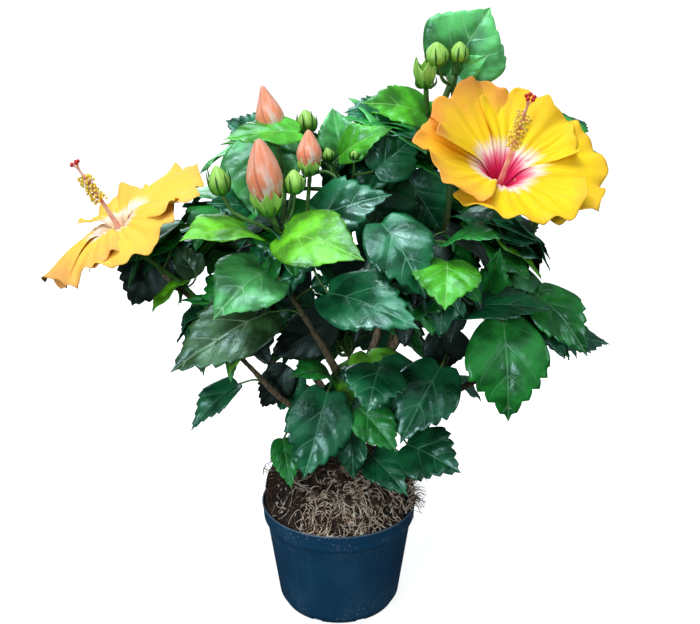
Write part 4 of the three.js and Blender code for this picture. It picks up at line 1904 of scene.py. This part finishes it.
@dataclass
class PottingMix:
    """The heaped mix: a crumbly mound, lumps, curly fibres and white grit."""

    pot: Pot
    trunk: np.ndarray
    chance: np.random.Generator
    crown: float = 132.0
    slope: float = 0.14
    shoulder: float = 26.0
    edge_drop: float = 7.0
    edge_rise: float = 30.0
    fibres: int = 900
    lumps: int = 1500
    grit: int = 80
    tuft: int = 90

    def level(self, x: np.ndarray, y: np.ndarray) -> np.ndarray:
        """Height of the heap at a place, without its crumbs.

        Args:
            x: How far right the place is.
            y: How far back it is.

        Returns:
            The height.
        """
        wall = self.pot.rim - 2.2
        rise = smooth(0.0, self.shoulder, wall - np.hypot(x, y))
        flat = smooth(24.0, 48.0, np.hypot(x - self.trunk[0], y - self.trunk[1]))
        top = self.crown + self.slope * (y - self.trunk[1]) * flat
        edge = self.pot.height - self.edge_drop + self.edge_rise * smooth(-50.0, 40.0, y)
        return edge + (top - edge) * rise

    def mound(self) -> None:
        """Make the mound: rings drawn in from the wall, lifted to the heap, then crumbled."""
        wall = self.pot.rim - 3.4
        bpy.ops.object.select_all(action="DESELECT")
        bpy.ops.mesh.primitive_circle_add(
            vertices=200, radius=(wall - 8) * MM, fill_type="NGON", location=(0, 0, 0.05)
        )
        mound = bpy.context.object
        mound.name = mound.data.name = "mix_mound"
        bpy.ops.object.transform_apply(location=True)
        bpy.ops.object.mode_set(mode="EDIT")
        bpy.ops.mesh.select_all(action="SELECT")
        radius = wall - 8
        for wider, rise in ((wall - 3.2, 34.0), (wall, 12.0), (wall, 3.0)):
            draw_ring(wider / radius, rise * MM)
            radius = wider
        rings = 46
        for i in range(1, rings):
            narrower = wall * (1 - i / rings)
            draw_ring(narrower / radius, 0.0)
            radius = narrower
        bpy.ops.mesh.merge(type="CENTER")
        bpy.ops.mesh.select_all(action="SELECT")
        bpy.ops.mesh.normals_make_consistent(inside=False)
        bpy.ops.object.mode_set(mode="OBJECT")
        co = np.empty(len(mound.data.vertices) * 3)
        mound.data.vertices.foreach_get("co", co)
        co = co.reshape(-1, 3) / MM
        top = co[:, 2] > 98.0
        co[top, 2] = self.level(co[top, 0], co[top, 1])
        mound.data.vertices.foreach_set("co", (co * MM).ravel())
        heap = mound.vertex_groups.new(name="heap")
        heap.add([v.index for v in mound.data.vertices if v.co.z > 0.0995], 1.0, "REPLACE")
        raise_relief(mound, (("clods", 0.011, 5.0), ("crumbs", 0.0032, 2.8)), heap.name)
        mound.data.shade_smooth()
        mound.data.materials.clear()
        dark, light = (0.005, 0.0035, 0.003), (0.034, 0.020, 0.015)
        earth = plain_finish("damp_peat", dark, light, 260.0, 0.95)
        mound.data.materials.append(earth)
        adopt(mound, ("potting_mix",))

    def _spot(self, front: float) -> tuple[float, float]:
        """A place on the heap, more often towards the front and right as front grows.

        Args:
            front: 0 for anywhere, up to 1 for the front and right alone.

        Returns:
            The place.
        """
        while True:
            x, y = self.chance.uniform(-70, 70, 2)
            if math.hypot(x, y) > 69 or math.hypot(x - self.trunk[0], y - self.trunk[1]) < 9:
                continue
            near = math.exp(-(((x - 12) / 44) ** 2) - ((y + 52) / 26) ** 2)
            right = math.exp(-(((x - 62) / 18) ** 2) - ((y + 8) / 34) ** 2)
            if self.chance.random() < (1 - front) + front * max(near, right):
                return float(x), float(y)

    def litter(self) -> None:
        """Scatter lumps, fibres and grit over the mound, as three joined pieces."""
        lumps = Sheaf()
        for _ in range(self.lumps):
            x, y = self._spot(0.0)
            self._drop(lumps, (x, y), self.chance.uniform(0.8, 2.6) ** 1.1, 0.55, (-0.6, 2.6))
        black, brown = (0.006, 0.004, 0.0035), (0.050, 0.030, 0.021)
        crumb = plain_finish("peat_crumb", black, brown, 420.0, 0.95)
        lumps.piece("mix_lumps", [crumb], "potting_mix")
        pale, dark = Sheaf(), Sheaf()
        for _ in range(self.fibres):
            self._fibre(dark, 0.20, self.chance.uniform(0.22, 0.50))
            if self.chance.random() < 0.42:
                self._fibre(pale, 0.96, self.chance.uniform(0.30, 0.85))
        for _ in range(self.tuft):
            self._stray(pale if self.chance.random() < 0.6 else dark)
        straw = plain_finish("straw_fibre", (0.62, 0.40, 0.27), (1.0, 0.88, 0.70), 260.0, 0.7)
        husk = plain_finish("husk_fibre", (0.045, 0.020, 0.012), (0.17, 0.085, 0.05), 260.0, 0.8)
        pale.piece("mix_fibres_pale", [straw], "potting_mix")
        dark.piece("mix_fibres_dark", [husk], "potting_mix")
        grit = Sheaf()
        for _ in range(self.grit):
            on_the_left = self.chance.random() < 0.7
            turn = self.chance.uniform(*((2.4, 4.2) if on_the_left else (0.0, 6.28)))
            far = self.chance.uniform(40, 69)
            spot = (far * math.cos(turn), far * math.sin(turn))
            self._drop(grit, spot, self.chance.uniform(0.5, 1.5), 0.7, (1.0, 3.0))
        white = plain_finish("white_grit", (0.55, 0.54, 0.50), (0.85, 0.84, 0.80), 500.0, 0.8)
        grit.piece("mix_grit", [white], "potting_mix")

    def _drop(
        self,
        sheaf: Sheaf,
        spot: tuple[float, float],
        size: float,
        flattest: float,
        above: tuple[float, float],
    ) -> None:
        """Drop one lump on the heap.

        Args:
            sheaf: Takes the lump.
            spot: Where it lands.
            size: Its radius.
            flattest: How far it may be squashed, as a share of its radius.
            above: The least and most that it stands above the heap.
        """
        points, faces, place = ball(np.zeros(3), size, self.chance)
        points = points * self.chance.uniform(flattest, 1.2, 3)
        z = float(self.level(*spot)) + self.chance.uniform(*above)
        sheaf.add(points + np.array([*spot, z]), faces, place)

    def _stray(self, sheaf: Sheaf) -> None:
        """A short fibre of the tuft that leans out over the lip on the right.

        Args:
            sheaf: Takes the fibre.
        """
        start = np.array([68.0, -4.0, 112.0]) + self.chance.normal(0, 1, 3) * np.array([3, 14, 4])
        way = unit(np.array([0.8, -0.1, 0.3]) + self.chance.normal(0, 0.6, 3))
        long = self.chance.uniform(8, 19)
        sag = np.array([0.0, 0.0, -0.2 * long])
        bent = start + way * 0.5 * long + self.chance.normal(0, 1.6, 3)
        path = curve_through(np.array([start, bent, start + way * long + sag]), 8)
        radii = self.chance.uniform(0.3, 0.7) * np.linspace(1.0, 0.5, 8)
        sheaf.add(*tube(path, radii, 3))

    def _fibre(self, sheaf: Sheaf, front: float, width: float) -> None:
        """One curly fibre that lies on the heap, thicker in the middle.

        Args:
            sheaf: Takes the fibre.
            front: How much it keeps to the front and right, from 0 to 1.
            width: Its radius at its thickest.
        """
        x, y = self._spot(front)
        heading = self.chance.uniform(0, 2 * math.pi)
        curl = self.chance.normal(0, 0.11)
        step = self.chance.uniform(1.2, 3.0)
        count = int(self.chance.integers(8, 13))
        hump = self.chance.uniform(0.4, 4.5)
        path = []
        for i in range(count):
            z = float(self.level(x, y)) + hump * math.sin(math.pi * i / (count - 1)) + 1.8
            path.append((x, y, z))
            heading += curl * step + self.chance.normal(0, 0.22)
            x += step * math.cos(heading)
            y += step * math.sin(heading)
            limit = self.pot.rim - 3.5 if y < 0 else self.pot.rim + 1.5
            if math.hypot(x, y) > limit:
                heading += 1.2
                x, y = x * limit / math.hypot(x, y), y * limit / math.hypot(x, y)
        radii = width * (0.45 + 0.55 * np.sin(np.linspace(0.15, 2.99, count)))
        sheaf.add(*tube(np.array(path), radii, 3))


# ---------------------------------------------------------------- studio


@dataclass(frozen=True)
class Studio:
    """A pale floor, soft lights and the camera."""

    camera_place: Triple = (0.0108, -0.95, 0.65)
    camera_pitch: float = 20.2
    lens: float = 56.7

    def build(self) -> None:
        """Set up floor, sky, lights and camera."""
        self._floor()
        scene = bpy.context.scene
        scene.view_settings.view_transform = "Standard"
        world = bpy.data.worlds.new("studio")
        world.use_nodes = True
        self._sky(world.node_tree)
        scene.world = world
        self._sun("sky_light", (-0.45, -0.25, 1.0), 8.0, 0.75)
        self._softbox("top_window", (-0.25, -0.25, 2.0), (0.0, 0.0, 0.35), 1.3, 26.0)
        self._softbox("left_window", (-0.9, -1.8, 0.85), (0.0, 0.0, 0.3), 0.7, 17.0)
        self._softbox("right_window", (1.7, -0.7, 0.9), (0.05, 0.0, 0.3), 0.6, 5.0)
        self._softbox("back_window", (-0.5, 1.8, 0.9), (0.0, 0.0, 0.3), 0.8, 9.0)
        data = bpy.data.cameras.new("camera")
        data.lens = self.lens
        data.sensor_width = 36.0
        data.clip_start = 0.02
        camera = bpy.data.objects.new("camera", data)
        camera.location = self.camera_place
        camera.rotation_euler = (math.radians(90 - self.camera_pitch), 0.0, 0.0)
        scene.collection.objects.link(camera)
        scene.camera = camera

    @staticmethod
    def _sky(tree: bpy.types.NodeTree) -> None:
        """Light the world as a bright sky over dark ground, which the camera sees as white.

        Args:
            tree: The world's nodes.
        """
        background = tree.nodes["Background"]
        where = tree.nodes.new("ShaderNodeTexCoord")
        parts = tree.nodes.new("ShaderNodeSeparateXYZ")
        ramp = tree.nodes.new("ShaderNodeValToRGB")
        ramp.color_ramp.elements[0].position = 0.42
        ramp.color_ramp.elements[0].color = (0.10, 0.11, 0.12, 1.0)
        ramp.color_ramp.elements[1].position = 0.60
        ramp.color_ramp.elements[1].color = (0.86, 0.95, 1.0, 1.0)
        half = tree.nodes.new("ShaderNodeMath")
        half.operation = "MULTIPLY_ADD"
        half.inputs[1].default_value = 0.5
        half.inputs[2].default_value = 0.5
        tree.links.new(where.outputs["Generated"], parts.inputs[0])
        tree.links.new(parts.outputs[2], half.inputs[0])
        tree.links.new(half.outputs[0], ramp.inputs[0])
        rays = tree.nodes.new("ShaderNodeLightPath")
        seen = tree.nodes.new("ShaderNodeMix")
        seen.data_type = "RGBA"
        seen.inputs[7].default_value = (4.6, 4.6, 4.6, 1.0)
        tree.links.new(rays.outputs["Is Camera Ray"], seen.inputs[0])
        tree.links.new(ramp.outputs[0], seen.inputs[6])
        tree.links.new(seen.outputs[2], background.inputs["Color"])
        background.inputs["Strength"].default_value = 0.24

    @staticmethod
    def _floor() -> None:
        """A wide pale floor just under the pot, which throws no light back up."""
        bpy.ops.object.select_all(action="DESELECT")
        bpy.ops.mesh.primitive_plane_add(size=60.0, location=(0, 0, -0.0002))
        floor = bpy.context.object
        floor.name = "studio_floor"
        floor.visible_diffuse = False
        floor.visible_glossy = False
        graph = Graph("pale_floor")
        grain = graph.noise(3.0)
        colour = graph.mix((0.58, 0.58, 0.58), (0.60, 0.60, 0.60), grain)
        white = (1.0, 1.0, 1.0, 1.0)
        paper = graph.finish(
            Base_Color=colour, Roughness=0.9, Emission_Color=white, Emission_Strength=0.82
        )
        floor.data.materials.append(paper)

    @staticmethod
    def _aim(light: bpy.types.Object, way: np.ndarray) -> None:
        """Turn a light so that it shines along a direction."""
        pitch = math.atan2(math.hypot(way[0], way[1]), -way[2])
        light.rotation_euler = (pitch, 0.0, math.atan2(-way[0], way[1]))
        bpy.context.scene.collection.objects.link(light)

    def _sun(self, name: str, comes_from: Triple, width: float, strength: float) -> None:
        """A wide distant light, whose width is an angle in degrees.

        Args:
            name: Its name.
            comes_from: The direction that it comes from.
            width: Its width, in degrees.
            strength: Its strength.
        """
        data = bpy.data.lights.new(name, "SUN")
        data.angle = math.radians(width)
        data.energy = strength
        self._aim(bpy.data.objects.new(name, data), -np.array(comes_from))

    def _softbox(
        self, name: str, place: Triple, towards: Triple, size: float, power: float
    ) -> None:
        """A square soft light that looks at a point.

        Args:
            name: Its name.
            place: Where it hangs, in metres.
            towards: The point that it looks at.
            size: Its side, in metres.
            power: Its power, in watts.
        """
        data = bpy.data.lights.new(name, "AREA")
        data.shape = "SQUARE"
        data.size = size
        data.energy = power
        data.color = (0.82, 0.93, 1.0)
        light = bpy.data.objects.new(name, data)
        light.location = place
        self._aim(light, np.array(towards) - np.array(place))


# ---------------------------------------------------------------- the shrub


def build_blooms(limbs: Limbs, buds: Buds) -> None:
    """Make the two open blooms with their calyxes and stalks.

    Args:
        limbs: Takes the stalks.
        buds: Takes the calyxes and bracts.
    """
    right = Bloom(
        node="bloom_right",
        throat=np.array([139.0, -45.0, 441.0]),
        faces=np.array([0.15, -0.51, 0.85]),
        cup=26.0,
        column=82.0,
        turns=(-10.0, 60.0, 132.0, 196.0, 278.0),
        reaches=(84.0, 70.0, 74.0, 80.0, 80.0),
        lifts=(-10.0, 4.0, 10.0, 6.0, 0.0),
        finish=PetalFinish((1.0, 0.66, 0.004), (0.95, 0.36, 0.07)),
        chance=np.random.default_rng(SEED + 1),
    )
    left = Bloom(
        node="bloom_left",
        throat=np.array([-196.0, -12.0, 389.0]),
        faces=np.array([-0.479, -0.093, 0.874]),
        cup=6.0,
        column=62.0,
        turns=(13.0, 92.0, 170.0, 232.0, 304.0),
        reaches=(86.0, 60.0, 80.0, 71.0, 76.0),
        lifts=(-8.0, 0.0, -22.0, -20.0, -18.0),
        finish=PetalFinish(
            yellow=(1.0, 0.62, 0.070),
            edge=(0.98, 0.42, 0.12),
            throat=(1.0, 0.60, 0.36),
            blush=(1.0, 0.70, 0.45),
        ),
        chance=np.random.default_rng(SEED + 2),
    )
    column, anthers, pads = Sheaf(), Sheaf(), Sheaf()
    for bloom in (right, left):
        bloom.build_petals()
        bloom.build_column(column, anthers, pads)
        frame = bloom.frame()
        foot = frame.origin - frame.face * 30.0
        sleeve = np.array([foot + frame.face * (2 + 3 * i) for i in range(3)])
        buds.petals.add(*tube(sleeve, np.array([4.2, 4.8, 5.4]), 24))
        beneath = Frame(foot, frame.side, frame.along, frame.face)
        buds.cup(beneath, 15.0, 11.0, 10.0, 0.35)
        buds.ruff(beneath, 7.0, 12.0)
    end = right.throat - unit(right.faces) * 30
    limbs.shoot([STALK_FEET["bloom_right"], tuple(end)], (2.2, 2.3), 10)
    end = left.throat - unit(left.faces) * 30
    limbs.shoot([(-128, 12, 306), (-150, 6, 332), tuple(end)], (2.3, 2.0), 10)
    rose = plain_finish("column_rose", (0.86, 0.34, 0.26), (0.95, 0.56, 0.40), 120.0, 0.5)
    column.piece("stamen_columns", [rose], "petals")
    pollen = plain_finish("anther_yellow", (0.95, 0.62, 0.03), (1.0, 0.85, 0.16), 700.0, 0.7)
    anthers.piece("anthers", [pollen], "petals")
    red = plain_finish("stigma_red", (0.45, 0.006, 0.012), (0.75, 0.03, 0.03), 700.0, 0.6)
    pads.piece("stigma_pads", [red], "petals")


def main() -> None:
    """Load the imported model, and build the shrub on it."""
    logging.basicConfig(level=logging.INFO, format="%(name)s: %(message)s")
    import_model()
    chance = np.random.default_rng(SEED)
    pot = Pot.from_frame()
    pot.build(PotFinish())
    limbs = Limbs.from_frame()
    mix = PottingMix(pot, limbs.foot, chance)
    mix.mound()
    mix.litter()
    stems = StemFinish()
    limbs.build(stems)
    buds = Buds(limbs, np.random.default_rng(SEED + 3))
    build_blooms(limbs, buds)
    buds.build()
    crown = Crown(limbs, np.random.default_rng(SEED + 4))
    crown.grow()
    crown.build(stems)
    Studio().build()


if __name__ == "__main__":
    main()
